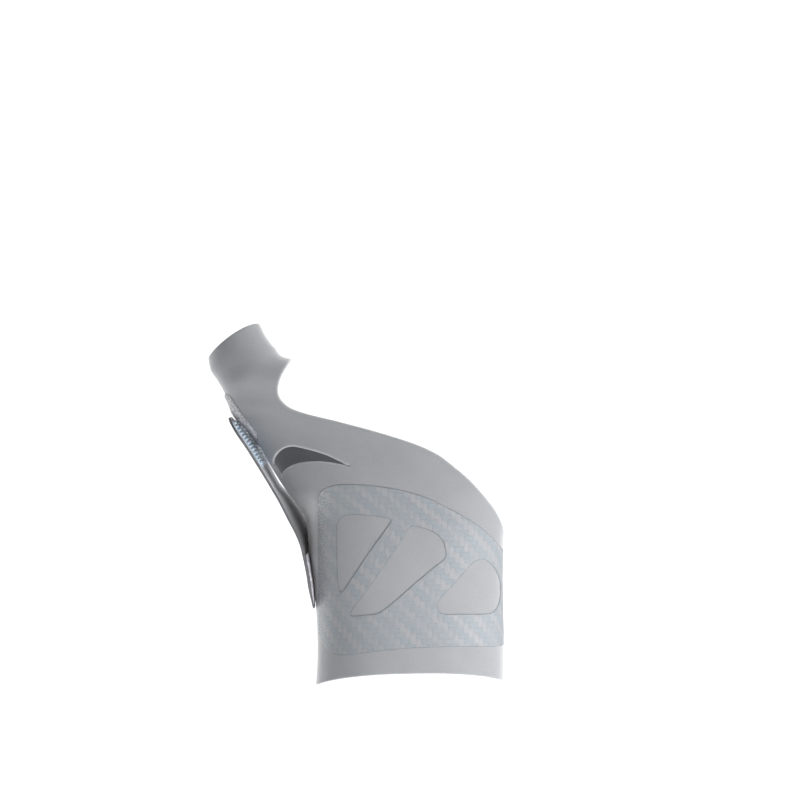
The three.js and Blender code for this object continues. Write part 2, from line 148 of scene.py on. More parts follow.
# The line on which the strap's near edge would lie against the bare sleeve, from its upper tip down,
# in the same shares, with the turn of its width away from straight back in degrees.
STRAP_LINE = np.array([
    (-0.9315, 0.748, 2.0),
    (-0.9010, 0.721, 3.6),
    (-0.8310, 0.668, 6.2),
    (-0.7570, 0.607, 5.4),
    (-0.6950, 0.554, 4.8),
    (-0.6550, 0.518, 7.8),
    (-0.6090, 0.471, 10.0),
    (-0.5640, 0.426, 10.2),
    (-0.5380, 0.392, 7.2),
    (-0.5230, 0.360, 3.2),
    (-0.5090, 0.325, 1.2),
    (-0.4965, 0.285, 0.5),
    (-0.4840, 0.214, 0.5),
])
STRAP_NEAR_SHARE = 0.48
STRAP_MIDDLE = np.array([(0.065,), (0.05,), (0.02,), (0.0,), (0.0,)])

# Lift of the printed film, the loop patch's back and the strap's inner face off what they lie on, in
# millimetres, and how the strap thins and bends in over its last stretch
FILM_LIFT = 0.03
PATCH_LIFT = 0.05
STRAP_LIFT = 0.95
STRAP_END_LIFT = 0.4
STRAP_END_STRETCH = 9.0
STRAP_END_THINNING = 0.3
PAD_GAP = 0.04

# Rims of the cloth: steps round a rim, its bulge as a share of the thickness, and how far from a cut
# edge the distance to it is kept, in millimetres
RIM_STEPS = 3
RIM_BULGE = 0.35
EDGE_REACH = 12

# Marks placed by the object's own millimetres. The painted rim light on the cloth under the strap's lower
# end, which stands in for light that the strap keeps off the cuff's side: axis, where it ends and where it
# is full. The loop patch's painted shadow of the strap: direction across the patch, where it is full and
# where it ends. The film's painted glints: axis, where they end and where they are densest. The painted
# shade on the lower end of the strap's lining, between strap and cuff: axis, where it is darkest and where
# it ends.
PAINTED_RIM_LIGHT_AREA = (("X", -31.0, -34.0), ("Z", 22.0, 30.0), ("Z", 69.0, 59.0))
PATCH_PAINTED_SHADOW = ((0.74, 0.0, 0.67), 17.3, 18.6)
GLINTS = ("X", -26.5, -32.0)
LINING_PAINTED_SHADE = ("Z", 50.0, 72.0)

# Where the film's dark outline, a painted shadow of its raised edge, starts to fade out towards the
# thumb's side, and where it has gone, as shares of CUFF_WIDTH
SHADOW_LINE_FADE_START = 0.42
SHADOW_LINE_FADE_END = 0.47

# Ranges of turn and section, and steps, of the grids that the film and the loop patch are cut from, and
# the steps along and across the strap and its pads
FILM_GRID = ((0.48, 1.14), (0.4, 9.6), 230, 130)
PATCH_GRID = ((0.3, 0.72), (10, 17), 60, 60)
STRAP_GRID = (150, 50)
PAD_GRID = (36, 40)

# Face of the loop patch. Its swell rises and falls at these shares of the height. The others are
# millimetres: the border over which it thickens, and its thickness at the edge, what the face adds
# and what the swell adds to that.
PATCH_SWELL_RISE = (0.7, 0.745)
PATCH_SWELL_FALL = (0.75, 0.8)
PATCH_BORDER = 1.2
PATCH_EDGE = 0.12
PATCH_FACE = 0.35
PATCH_SWELL = 0.68

# Loose loops of the loop patch and of the lower pad: their margin from the cut edges, and the offsets
# of their feet and tips, in millimetres. LOWER_LOOPS is how many the lower pad has.
PATCH_LOOPS = (0.5, (0.3, 0.85))
LOWER_PAD_LOOPS = (0.6, (0.3, 0.1))
LOWER_LOOPS = 1500

# Hook pads, in millimetres: the foot of each pad's hooks, off the face that meets the sleeve, and the
# least thickness of the backing
UPPER_PAD_FOOT = 0.5
LOWER_PAD_FOOT = 0.3
LEAST_BACKING = 0.15

# Ridges of the upper pad. Each is three rods side by side: how far along the strap, how far off the
# face, and their radius. Then come the first row's place, what the rows leave free in all, and how far
# they stay from the pad's sides, and from them in the first and last row, in millimetres.
RIDGE_RODS = ((0.0, 0.5, 0.36), (0.1, 0.42, 0.42), (0.2, 0.38, 0.42))
RIDGE_START = 0.7
RIDGE_FREE = 1.2
RIDGE_INSET = 0.4
RIDGE_CORNER_INSET = 1.8
RIDGE_POINTS = 9
ROD_SIDES = 8

# Colours of the fuzzy and moulded pieces, dark and light, and a painted shadow that ends below the pad, so the
# pad gets none
LOOP_COLOURS = ((160, 158, 165), (252, 252, 253))
YARN_COLOURS = ((215, 214, 218), (255, 255, 255))
LOWER_PAD_COLOURS = ((190, 187, 200), (248, 247, 252))
HOOK_COLOUR = (214, 227, 240)
NO_PAINTED_SHADOW = ((0.0, 0.0, 1.0), 0.0, 1.0)

# Place of the camera, in metres, and the width that it sees at the object
CAMERA_PLACE = (-0.0036, -1.6, 0.1008)
SEEN_WIDTH = 0.284
SENSOR_WIDTH = 36.0

# Studio lights: place, what each faces and its size, in metres
LIGHT_TARGET = (-0.015, 0.0, 0.06)
SWEEP_TARGET = (0.0, 2.3, 0.2)
LIGHTS = (
    ("key", (0.46, -0.36, -0.12), LIGHT_TARGET, 0.4),
    ("fill", (0.4, -1.33, -0.1), LIGHT_TARGET, 0.8),
    ("side", (-0.6, -0.34, 0.06), LIGHT_TARGET, 0.3),
    ("rim", (-0.62, 0.26, 0.0), LIGHT_TARGET, 0.5),
    ("back", (0.0, 0.7, 1.5), SWEEP_TARGET, 1.4),
)


# Curves and outlines

def rows_at(table, place):
    """Smooth line through a table's rows, at places counted in rows."""
    last = len(table) - 1
    at = np.clip(place, 0, last)
    low = np.minimum(np.floor(at).astype(int), last - 1)
    t = (at - low)[..., None]
    p, q, r, s = (table[np.clip(low + step, 0, last)] for step in (-1, 0, 1, 2))
    bend = (3 * (q - r) + s - p) * t**3
    sag = (2 * p - 5 * q + 4 * r - s) * t**2
    return q + ((r - p) * t + sag + bend) / 2


def smooth_line(points, closed, steps):
    """Centripetal line through points, with the given number of steps between two of them."""
    given = np.array(points, dtype=float)
    if closed:
        padded = np.vstack([given[-1:], given, given[:2]])
    else:
        padded = np.vstack([2 * given[:1] - given[1:2], given, 2 * given[-1:] - given[-2:-1]])
    line = []
    for p, q, r, s in zip(padded, padded[1:], padded[2:], padded[3:]):
        before, between, after = (math.sqrt(np.linalg.norm(b - a)) for a, b in ((p, q), (q, r), (r, s)))
        leave = (q - p) / before - (r - p) / (before + between) + (r - q) / between
        arrive = (r - q) / between - (s - q) / (between + after) + (s - r) / after
        leave, arrive = leave * between, arrive * between
        for t in np.arange(steps) / steps:
            cubic = (2 * (q - r) + leave + arrive) * t**3
            square = (3 * (r - q) - 2 * leave - arrive) * t**2
            line.append(cubic + square + leave * t + q)
    if not closed:
        line.append(given[-1])
    return np.array(line)


def in_millimetres(outline):
    return np.array(outline, dtype=float) * (CUFF_WIDTH, SLEEVE_HEIGHT)


def depth_inside(x, z, outline):
    """Distance to an outline seen from the front, in millimetres, positive inside it."""
    ends = np.roll(outline, -1, axis=0)
    nearest = np.full(x.shape, np.inf)
    inside = np.zeros(x.shape, dtype=bool)
    for (ax, az), (bx, bz) in zip(outline, ends):
        dx, dz = bx - ax, bz - az
        length = dx * dx + dz * dz
        if length == 0:
            continue
        share = np.clip(((x - ax) * dx + (z - az) * dz) / length, 0, 1)
        nearest = np.minimum(nearest, np.hypot(x - ax - share * dx, z - az - share * dz))
        if dz != 0:
            crosses = (az > z) != (bz > z)
            inside ^= crosses & (x < ax + (z - az) * dx / dz)
    return np.where(inside, nearest, -nearest)


def smooth_step(value, low, high):
    share = np.clip((value - low) / (high - low), 0, 1)
    return share * share * (3 - 2 * share)


# The sleeve's form

def face_point(turn, v):
    """Point of the sleeve's outer face in millimetres: turn is 0 on the +X side and goes round by the
    far side, the -X side and the near side, and v counts sections."""
    lx, lz, rx, rz, deep, mid, near, far, full = np.moveaxis(rows_at(SECTIONS, v), -1, 0)
    angle = 2 * math.pi * turn
    power = 2 / full
    across = np.sign(np.cos(angle)) * np.abs(np.cos(angle)) ** power
    back = np.sign(np.sin(angle)) * np.abs(np.sin(angle)) ** power
    rise = np.where(back > 0, far, near) * np.abs(back) ** RISE_POWER
    share = (1 + across) / 2
    x = (lx + (rx - lx) * share) * CUFF_WIDTH
    y = (mid + deep * back) * CUFF_DEPTH
    z = (lz + (rz - lz) * share + rise) * SLEEVE_HEIGHT
    return np.stack([x, y, z], axis=-1)


def unit(vectors):
    return vectors / np.maximum(np.linalg.norm(vectors, axis=-1, keepdims=True), 1e-12)


def sleeve_place(turn, v):
    """Points of the sleeve's outer face and the face's outward normals."""
    round_it = face_point(turn + PROBE, v) - face_point(turn - PROBE, v)
    low, high = np.maximum(v - PROBE, 0), np.minimum(v + PROBE, LAST_SECTION)
    along = face_point(turn, high) - face_point(turn, low)
    return face_point(turn, v), unit(np.cross(round_it, along))


def open_outline(edge):
    return np.vstack([smooth_line(in_millimetres(edge), False, 8), in_millimetres(BEYOND_OPENING)])


def near_share(y, soft):
    """1 on the near wall and 0 on the far one, with a soft change where they part."""
    parting = PARTING_SHARE * CUFF_DEPTH
    return 1 - smooth_step(y, parting - soft, parting + soft)


def sleeve_keep(turn, v, point):
    """How far inside the cut edges of the sleeve a point lies, negative in an opening."""
    x, y, z = np.moveaxis(point, -1, 0)
    near = near_share(y, 2.5)
    opening = near * depth_inside(x, z, open_outline(OPEN_EDGE_NEAR))
    opening += (1 - near) * depth_inside(x, z, open_outline(OPEN_EDGE_FAR))
    slit = depth_inside(x, z, smooth_line(in_millimetres(SLIT_OUTLINE), True, 8))
    return -np.maximum(opening, np.where(y < PARTING_SHARE * CUFF_DEPTH, slit, -np.inf))


def film_keep(turn, v, point):
    x, y, z = np.moveaxis(point, -1, 0)
    top = smooth_line(in_millimetres(FILM_TOP), False, 8)
    bottom = smooth_line(in_millimetres(FILM_BOTTOM), False, 8)
    side = in_millimetres([(1.0, FILM_TOP[-1][1]), (1.0, FILM_BOTTOM[0][1])])
    end = in_millimetres([(FILM_END_SHARE, FILM_BOTTOM[0][1]), (FILM_END_SHARE, FILM_TOP[-1][1])])
    near = near_share(y, 1.0)
    cover = near * depth_inside(x, z, np.vstack([top, side, bottom]))
    cover += (1 - near) * depth_inside(x, z, np.vstack([side, end]))
    for window in FILM_WINDOWS:
        hole = depth_inside(x, z, smooth_line(in_millimetres(window), True, 8))
        cover = np.minimum(cover, np.where(y < 0, -hole, np.inf))
    return cover


def patch_keep(turn, v, point):
    x, y, z = np.moveaxis(point, -1, 0)
    near = near_share(y, 2.0)
    cover = near * depth_inside(x, z, smooth_line(in_millimetres(PATCH_NEAR_EDGE), False, 8))
    cover += (1 - near) * depth_inside(x, z, smooth_line(in_millimetres(PATCH_FAR_EDGE), False, 8))
    return cover


# The strap's form

def strap_line():
    """Points of the strap's line in x and z, their distances from the upper tip and their rows."""
    steps = 40
    points = smooth_line(STRAP_LINE[:, :2] * (CUFF_WIDTH, SLEEVE_HEIGHT), False, steps)
    distance = np.concatenate([[0], np.cumsum(np.linalg.norm(np.diff(points, axis=0), axis=1))])
    return points, distance, np.arange(len(points)) / steps


def strap_length():
    return strap_line()[1][-1]


def strap_place(distance, side):
    """Points of the strap's face that meets the sleeve's, and the normals away from the sleeve."""
    points, distances, rows = strap_line()
    slopes = np.gradient(points, distances, axis=0)
    x, z, dx, dz = (np.interp(distance, distances, c) for c in (*points.T, *slopes.T))
    row = np.interp(distance, distances, rows)
    turn = np.radians(rows_at(STRAP_LINE, row)[..., 2])
    middle_row = distance / distances[-1] * (len(STRAP_MIDDLE) - 1)
    middle = rows_at(STRAP_MIDDLE, middle_row)[..., 0] * CUFF_DEPTH
    inward = unit(np.stack([-dz, np.zeros_like(dx), dx], axis=-1))
    back = np.broadcast_to((0.0, 1.0, 0.0), inward.shape)
    cos, sin = np.cos(turn)[..., None], np.sin(turn)[..., None]
    base = np.stack([x, middle - STRAP_NEAR_SHARE * STRAP_WIDTH, z], axis=-1)
    base = base - inward * (PATCH_THICKNESS + 2 * SEAT_GAP)
    return base + (back * cos + inward * sin) * side[..., None], back * sin - inward * cos


def strap_lift(distance):
    """How far the strap's inner face lies off the face of its pads that meets the sleeve."""
    share = smooth_step(distance, strap_length() - STRAP_END_STRETCH, strap_length())
    return STRAP_LIFT + (STRAP_END_LIFT - STRAP_LIFT) * share


def strip_keep(start, end, near, far, corner):
    """Depth inside a strip with round corners, from its distance along the strap and its side."""
    def keep(distance, side, point):
        middle, half = (start + end) / 2, (end - start) / 2 - corner
        centre, wide = (near + far) / 2, (far - near) / 2 - corner
        along = np.abs(distance - middle) - half
        across = np.abs(side - centre) - wide
        outside = np.hypot(np.maximum(along, 0), np.maximum(across, 0))
        return corner - outside - np.minimum(np.maximum(along, across), 0)
    return keep


# Cloth pieces

class Sheet:
    """Part of a face that lies inside its cut edges, as triangles in the face's two parameters."""

    def __init__(self, place, keep, a_range, b_range, a_steps, b_steps, wraps):
        self.place, self.keep = place, keep
        a, b = np.meshgrid(np.linspace(*a_range, a_steps + 1), np.linspace(*b_range, b_steps + 1))
        self.ab = np.stack([a.ravel(), b.ravel()], axis=-1)
        row = a_steps + 1
        corner = (np.arange(b_steps)[:, None] * row + np.arange(a_steps)).ravel()
        lower = np.stack([corner, corner + 1, corner + 1 + row], axis=-1)
        upper = np.stack([corner, corner + 1 + row, corner + row], axis=-1)
        self.triangles = np.concatenate([lower, upper])
        self.depth = self.keep(*self.ab.T, place(*self.ab.T)[0])
        self.clip()
        self.weld = np.arange(len(self.ab))
        if wraps:
            first = np.arange(b_steps + 1) * row
            self.weld[first + a_steps] = first
            self.weld_cuts(a_range)
        self.drop_unused()

    def crossing(self, low, high):
        """Places on the edges between kept and dropped points where the cut edge runs."""
        d0, d1 = self.depth[low], self.depth[high]
        share = d0 / (d0 - d1)
        for _ in range(3):
            ab = self.ab[low] + (self.ab[high] - self.ab[low]) * share[:, None]
            miss = self.keep(*ab.T, self.place(*ab.T)[0])
            share = np.clip(share + miss / (d0 - d1), 0.001, 0.999)
        return self.ab[low] + (self.ab[high] - self.ab[low]) * share[:, None]

    def clip(self):
        kept = self.depth > 0
        count = kept[self.triangles].sum(axis=1)
        mixed = self.triangles[(count == 1) | (count == 2)]
        edges = np.concatenate([mixed[:, [0, 1]], mixed[:, [1, 2]], mixed[:, [2, 0]]])
        edges = np.unique(np.sort(edges, axis=1), axis=0)
        edges = edges[kept[edges[:, 0]] != kept[edges[:, 1]]]
        added = self.crossing(edges[:, 0], edges[:, 1])
        number = {(a, b): len(self.ab) + i for i, (a, b) in enumerate(edges.tolist())}
        made = []
        for triangle in mixed.tolist():
            shape = []
            for a, b in zip(triangle, triangle[1:] + triangle[:1]):
                if kept[a]:
                    shape.append(a)
                if kept[a] != kept[b]:
                    shape.append(number[(min(a, b), max(a, b))])
            made += [(shape[0], shape[i], shape[i + 1]) for i in range(1, len(shape) - 1)]
        self.first_cut = len(self.ab)
        self.ab = np.concatenate([self.ab, added])
        self.depth = np.concatenate([self.depth, np.zeros(len(added))])
        self.triangles = np.concatenate([self.triangles[count == 3], np.array(made, dtype=int).reshape(-1, 3)])

    def weld_cuts(self, a_range):
        """Joins the cut points on the last column to those on the first one."""
        at = self.ab[:, 0]
        cuts = np.arange(len(at)) >= self.first_cut
        first = np.where(cuts & np.isclose(at, a_range[0], atol=1e-9))[0]
        last = np.where(cuts & np.isclose(at, a_range[1], atol=1e-9))[0]
        for one in last:
            self.weld[one] = first[np.argmin(np.abs(self.ab[first, 1] - self.ab[one, 1]))]

    def drop_unused(self):
        used = np.unique(self.triangles)
        number = np.full(len(self.ab), -1)
        points = np.unique(self.weld[used])
        number[points] = np.arange(len(points))
        self.points = self.ab[points]
        self.point_depth = self.depth[points]
        self.faces = number[self.weld[self.triangles]]

    def border(self):
        """Directed edges that only one triangle uses."""
        edges = np.concatenate([self.faces[:, [0, 1]], self.faces[:, [1, 2]], self.faces[:, [2, 0]]])
        twins = {(a, b) for a, b in edges.tolist()}
        return np.array([e for e in edges.tolist() if (e[1], e[0]) not in twins])


def make_mesh(name, vertices, faces, materials, numbers):
    mesh = bpy.data.meshes.new(name)
    mesh.from_pydata(vertices.tolist(), [], faces)
    mesh.polygons.foreach_set("use_smooth", [True] * len(faces))
    mesh.polygons.foreach_set("material_index", numbers)
    for material in materials:
        mesh.materials.append(material)
    mesh.update()
    made = bpy.data.objects.new(name, mesh)
    bpy.context.scene.collection.objects.link(made)
    return made


def lay_cloth(name, sheet, outer, inner, materials, cloth_map):
    """Closed cloth between two faces that lie off the sheet's face by outer and by inner."""
    points, normals = sheet.place(*sheet.points.T)
    count = len(points)
    outer, inner = (np.broadcast_to(np.reshape(lift, (-1, 1)), (count, 1)) for lift in (outer, inner))
    thickness = outer - inner
    top, bottom = points + normals * outer, points + normals * inner
    border = sheet.border()
    outward = np.zeros_like(points)
    run = unit(top[border[:, 1]] - top[border[:, 0]])
    for end in (0, 1):
        np.add.at(outward, border[:, end], np.cross(run, normals[border[:, end]]))
    rim = np.unique(border)
    away = unit(outward[rim])
    slot = np.full(count, -1)
    slot[rim] = np.arange(len(rim))
    loops = []
    for step in range(1, RIM_STEPS + 1):
        angle = math.pi * step / (RIM_STEPS + 1)
        middle = (top[rim] + bottom[rim]) / 2
        lift = normals[rim] * math.cos(angle) * thickness[rim] / 2
        loops.append(middle + lift + away * math.sin(angle) * RIM_BULGE * thickness[rim])
    vertices = np.concatenate([top, bottom, *loops]) * MM
    faces = sheet.faces.tolist()
    faces += (sheet.faces[:, ::-1] + count).tolist()
    inner_start = len(sheet.faces)
    rim_start = len(faces)
    a, b = border.T
    chains = [(a, b)]
    ring_starts = [2 * count + len(rim) * k for k in range(RIM_STEPS)]
    chains += [(slot[a] + start, slot[b] + start) for start in ring_starts]
    chains.append((a + count, b + count))
    for (a0, b0), (a1, b1) in zip(chains, chains[1:]):
        faces += np.stack([b0, a0, a1, b1], axis=-1).tolist()
    numbers = np.zeros(len(faces), dtype=np.int32)
    if len(materials) > 1:
        numbers[inner_start:rim_start] = 1
    made = make_mesh(name, vertices, faces, materials, numbers)
    depth = np.concatenate([sheet.point_depth, sheet.point_depth, np.zeros(len(rim) * RIM_STEPS)])
    attribute = made.data.attributes.new("edge", "FLOAT", "POINT")
    attribute.data.foreach_set("value", np.clip(depth, 0, EDGE_REACH).astype(np.float32))
    write_cloth_map(made, sheet, cloth_map, border)
    return made


def write_cloth_map(made, sheet, cloth_map, border):
    """Millimetres on the flat cloth, across and up, kept in a UV map for every corner."""
    flat = cloth_map(sheet.ab)
    outer = flat[sheet.triangles]
    inner = outer[:, ::-1]
    number = {}
    for triangle, face in zip(sheet.triangles.tolist(), sheet.faces.tolist()):
        for k in range(3):
            number[(face[k], face[(k + 1) % 3])] = (triangle[k], triangle[(k + 1) % 3])
    sides = np.array([number[(a, b)] for a, b in border.tolist()])
    a, b = flat[sides[:, 0]], flat[sides[:, 1]]
    rim = np.stack([b, a, a, b], axis=1).reshape(-1, 2)
    rims = np.tile(rim, (RIM_STEPS + 1, 1))
    corners = np.concatenate([outer.reshape(-1, 2), inner.reshape(-1, 2), rims])
    layer = made.data.uv_layers.new(name="cloth")
    layer.data.foreach_set("uv", corners.astype(np.float32).ravel())


def sleeve_cloth_map(ab):
    """Arc length round the near wall's middle, and height."""
    turns = np.linspace(-0.3, 1.3, 641)
    sections = np.arange(0, LAST_SECTION + 0.5, 0.5)
    turn_grid, section_grid = np.meshgrid(turns, sections)
    ring = face_point(turn_grid, section_grid)
    steps = np.linalg.norm(np.diff(ring, axis=1), axis=2)
    arc = np.concatenate([np.zeros((len(sections), 1)), np.cumsum(steps, axis=1)], axis=1)
    arc -= arc[:, [np.argmin(np.abs(turns - 0.75))]]
    row = ab[:, 1] * 2
    low = np.clip(np.floor(row).astype(int), 0, len(sections) - 2)
    column = (ab[:, 0] - turns[0]) / (turns[1] - turns[0])
    left = np.clip(np.floor(column).astype(int), 0, len(turns) - 2)
    across = column - left
    lower = arc[low, left] * (1 - across) + arc[low, left + 1] * across
    upper = arc[low + 1, left] * (1 - across) + arc[low + 1, left + 1] * across
    share = row - low
    return np.stack([lower * (1 - share) + upper * share, face_point(*ab.T)[:, 2]], axis=-1)


# Small hooks and loops

def bent_rod(path, radius, sides):
    """Vertices and faces of a thin rod along a path of points."""
    path = np.asarray(path)
    ahead = unit(np.gradient(path, axis=0))
    helper = np.where(np.abs(ahead[:, :1]) < 0.9, (1.0, 0.0, 0.0), (0.0, 1.0, 0.0))
    one = unit(np.cross(ahead, helper))
    two = np.cross(ahead, one)
    angles = 2 * math.pi * np.arange(sides) / sides
    rings = [path + radius * (one * math.cos(t) + two * math.sin(t)) for t in angles]
    vertices = np.stack(rings, axis=1).reshape(-1, 3)
    faces = []
    for j in range(len(path) - 1):
        for i in range(sides):
            k = (i + 1) % sides
            faces.append((j * sides + i, j * sides + k, (j + 1) * sides + k, (j + 1) * sides + i))
    faces.append(tuple(range(sides - 1, -1, -1)))
    faces.append(tuple((len(path) - 1) * sides + i for i in range(sides)))
    return vertices, faces


def join_rods(name, rods, material):
    """One piece of many rods."""
    vertices, faces, start = [], [], 0
    for points, polygons in rods:
        vertices.append(points)
        faces += [tuple(start + i for i in polygon) for polygon in polygons]
        start += len(points)
    return make_mesh(name, np.concatenate(vertices) * MM, faces, [material], [0] * len(faces))


def loose_loops(name, sheet, count, seed, margin, offsets, material):
    """Small arches of yarn between two offsets from a sheet, at random places and angles, which keep a
    margin from its cut edges."""
    chance = np.random.default_rng(seed)
    inside = sheet.faces[sheet.point_depth[sheet.faces].min(axis=1) > margin]
    corners = sheet.points[inside[chance.integers(len(inside), size=count)]]
    weights = chance.dirichlet((1, 1, 1), count)
    points, normals = sheet.place(*(corners * weights[:, :, None]).sum(axis=1).T)
    foot, tip = offsets
    rods = []
    for point, normal in zip(points, normals):
        across = unit(np.cross(normal, chance.normal(size=3)))
        width, height = chance.uniform(0.25, 0.5), (tip - foot) * chance.uniform(0.4, 1)
        angles = np.linspace(0, math.pi, 5)
        arch = [point + normal * (foot + height * math.sin(t)) + across * width * math.cos(t) for t in angles]
        rods.append(bent_rod(arch, 0.05, 3))
    return join_rods(name, rods, material)


# Node trees

def add_node(tree, kind, links=None, **settings):
    """Node with its settings, and with each input linked to a socket or set to a value."""
    made = tree.nodes.new(kind)
    for key, value in settings.items():
        setattr(made, key, value)
    for name, source in (links or {}).items():
        if isinstance(source, bpy.types.NodeSocket):
            tree.links.new(source, made.inputs[name])
        else:
            made.inputs[name].default_value = source
    return made


def calc(tree, operation, *values):
    return add_node(tree, "ShaderNodeMath", dict(enumerate(values)), operation=operation).outputs[0]


def blend_colour(tree, factor, first, second):
    made = add_node(tree, "ShaderNodeMix", {0: factor, 6: first, 7: second}, data_type="RGBA")
    return made.outputs[2]


def noise(tree, vector, scale, detail=2.0):
    links = {"Vector": vector, "Scale": scale, "Detail": detail}
    return add_node(tree, "ShaderNodeTexNoise", links).outputs["Fac"]


def new_group(name, inputs, outputs):
    """Shader node group with named sockets, given as name: (kind, default) and name: kind."""
    tree = bpy.data.node_groups.new(name, "ShaderNodeTree")
    for label, (kind, value) in inputs.items():
        socket = tree.interface.new_socket(label, in_out="INPUT", socket_type=kind)
        if value is not None:
            socket.default_value = value
    for label, kind in outputs.items():
        tree.interface.new_socket(label, in_out="OUTPUT", socket_type=kind)
    entry = tree.nodes.new("NodeGroupInput")
    leave = tree.nodes.new("NodeGroupOutput")
    return tree, entry.outputs, leave.inputs


def link_out(tree, leave, results):
    for label, socket in results.items():
        tree.links.new(socket, leave[label])


FLOAT, COLOUR, VECTOR = "NodeSocketFloat", "NodeSocketColor", "NodeSocketVector"


def knit_group():
    """Courses and wales of a fine knit, from millimetres on the cloth."""
    inputs = {"Cloth": (VECTOR, None), "Pitch": (FLOAT, 0.75), "Wander": (FLOAT, 0.2), "Lean": (FLOAT, 0.12)}
    tree, given, leave = new_group("Knit ribs", inputs, {"Height": FLOAT, "Shade": FLOAT, "Ribs": FLOAT})
    place = add_node(tree, "ShaderNodeSeparateXYZ", {0: given["Cloth"]}).outputs
    wobble = calc(tree, "SUBTRACT", noise(tree, given["Cloth"], 0.12), 0.5)
    wobble = calc(tree, "MULTIPLY", wobble, given["Wander"])
    lean = calc(tree, "MULTIPLY", place["X"], given["Lean"])
    course = calc(tree, "ADD", calc(tree, "ADD", place["Y"], lean), wobble)
    course = calc(tree, "DIVIDE", calc(tree, "MULTIPLY", course, 2 * math.pi), given["Pitch"])
    wale = calc(tree, "DIVIDE", calc(tree, "MULTIPLY", place["X"], 2 * math.pi), given["Pitch"])
    rib = calc(tree, "MULTIPLY_ADD", calc(tree, "SINE", course), 0.5, 0.5)
    loop = calc(tree, "MULTIPLY_ADD", calc(tree, "SINE", wale), 0.5, 0.5)
    fibre = noise(tree, given["Cloth"], 2.4, 3.0)
    height = calc(tree, "ADD", calc(tree, "MULTIPLY", rib, 0.35), calc(tree, "MULTIPLY", loop, 0.2))
    height = calc(tree, "ADD", height, calc(tree, "MULTIPLY", fibre, 0.45))
    patchy = noise(tree, given["Cloth"], 0.07, 3.0)
    shade = calc(tree, "ADD", calc(tree, "MULTIPLY", fibre, 0.5), calc(tree, "MULTIPLY", patchy, 0.5))
    stretched = {"Value": place["X"], "From Min": 2.0, "From Max": 26.0, "To Min": 0.1, "To Max": 1.0}
    tension = add_node(tree, "ShaderNodeMapRange", stretched).outputs["Result"]
    slack = {"Value": place["X"], "From Min": 46.0, "From Max": 68.0, "To Min": 1.0, "To Max": 0.1}
    tension = calc(tree, "MINIMUM", tension, add_node(tree, "ShaderNodeMapRange", slack).outputs["Result"])
    ribs = calc(tree, "MULTIPLY", rib, tension)
    link_out(tree, leave, {"Height": height, "Shade": shade, "Ribs": ribs})
    return tree


def twill_group():
    """Two-by-two twill of flat tows, from millimetres on the cloth."""
    inputs = {"Cloth": (VECTOR, None), "Tow": (FLOAT, 1.9)}
    tree, given, leave = new_group("Twill tows", inputs, {"Upright": FLOAT, "Height": FLOAT, "Streak": FLOAT})
    size = add_node(tree, "ShaderNodeCombineXYZ", {0: given["Tow"], 1: given["Tow"], 2: 1.0}).outputs[0]
    cells = add_node(tree, "ShaderNodeVectorMath", {0: given["Cloth"], 1: size}, operation="DIVIDE").outputs[0]
    place = add_node(tree, "ShaderNodeSeparateXYZ", {0: cells}).outputs
    column, row = calc(tree, "FLOOR", place["X"]), calc(tree, "FLOOR", place["Y"])
    in_x, in_y = calc(tree, "FRACT", place["X"]), calc(tree, "FRACT", place["Y"])
    step = calc(tree, "FLOORED_MODULO", calc(tree, "ADD", column, row), 4.0)
    upright = calc(tree, "LESS_THAN", step, 1.5)
    run_up = calc(tree, "DIVIDE", calc(tree, "ADD", step, in_y), 2.0)
    run_across = calc(tree, "DIVIDE", calc(tree, "ADD", calc(tree, "SUBTRACT", step, 2.0), in_x), 2.0)

    def hump(socket):
        return calc(tree, "SINE", calc(tree, "MULTIPLY", socket, math.pi))

    def chosen(first, second):
        made = add_node(tree, "ShaderNodeMix", {0: upright, 2: second, 3: first}, data_type="FLOAT")
        return made.outputs[0]

    width = calc(tree, "POWER", chosen(hump(in_x), hump(in_y)), 0.5)
    length = calc(tree, "POWER", chosen(hump(run_up), hump(run_across)), 0.5)
    height = calc(tree, "ADD", calc(tree, "MULTIPLY", width, 0.4), calc(tree, "MULTIPLY", length, 0.6))
    fine = []
    for stretch in ((6.0, 0.5, 1.0), (0.5, 6.0, 1.0)):
        vector = add_node(tree, "ShaderNodeVectorMath", {0: given["Cloth"], 1: stretch}, operation="MULTIPLY")
        fine.append(noise(tree, vector.outputs[0], 0.8, 2.0))
    link_out(tree, leave, {"Upright": upright, "Height": height, "Streak": chosen(*fine)})
    return tree


def edge_group():
    """Gives the cut edges another colour, and the mask that did it. On the sleeve's cloth that colour is a
    painted highlight, on the printed film a painted shadow.
    """
    inputs = {
        "Color": (COLOUR, (0.5, 0.5, 0.5, 1.0)),
        "Edge Color": (COLOUR, (0.8, 0.8, 0.8, 1.0)),
        "Width": (FLOAT, 0.5),
        "Amount": (FLOAT, 0.6),
        "Grain": (VECTOR, None),
    }
    tree, given, leave = new_group("Cut edge", inputs, {"Color": COLOUR, "Mask": FLOAT})
    edge = add_node(tree, "ShaderNodeAttribute", attribute_name="edge").outputs["Fac"]
    ragged = calc(tree, "MULTIPLY", calc(tree, "SUBTRACT", noise(tree, given["Grain"], 1.6), 0.5), 0.5)
    near = calc(tree, "SUBTRACT", 1.0, calc(tree, "DIVIDE", calc(tree, "ADD", edge, ragged), given["Width"]))
    mask = calc(tree, "MULTIPLY", add_node(tree, "ShaderNodeClamp", {0: near}).outputs[0], given["Amount"])
    edged = blend_colour(tree, mask, given["Color"], given["Edge Color"])
    link_out(tree, leave, {"Color": edged, "Mask": mask})
    return tree


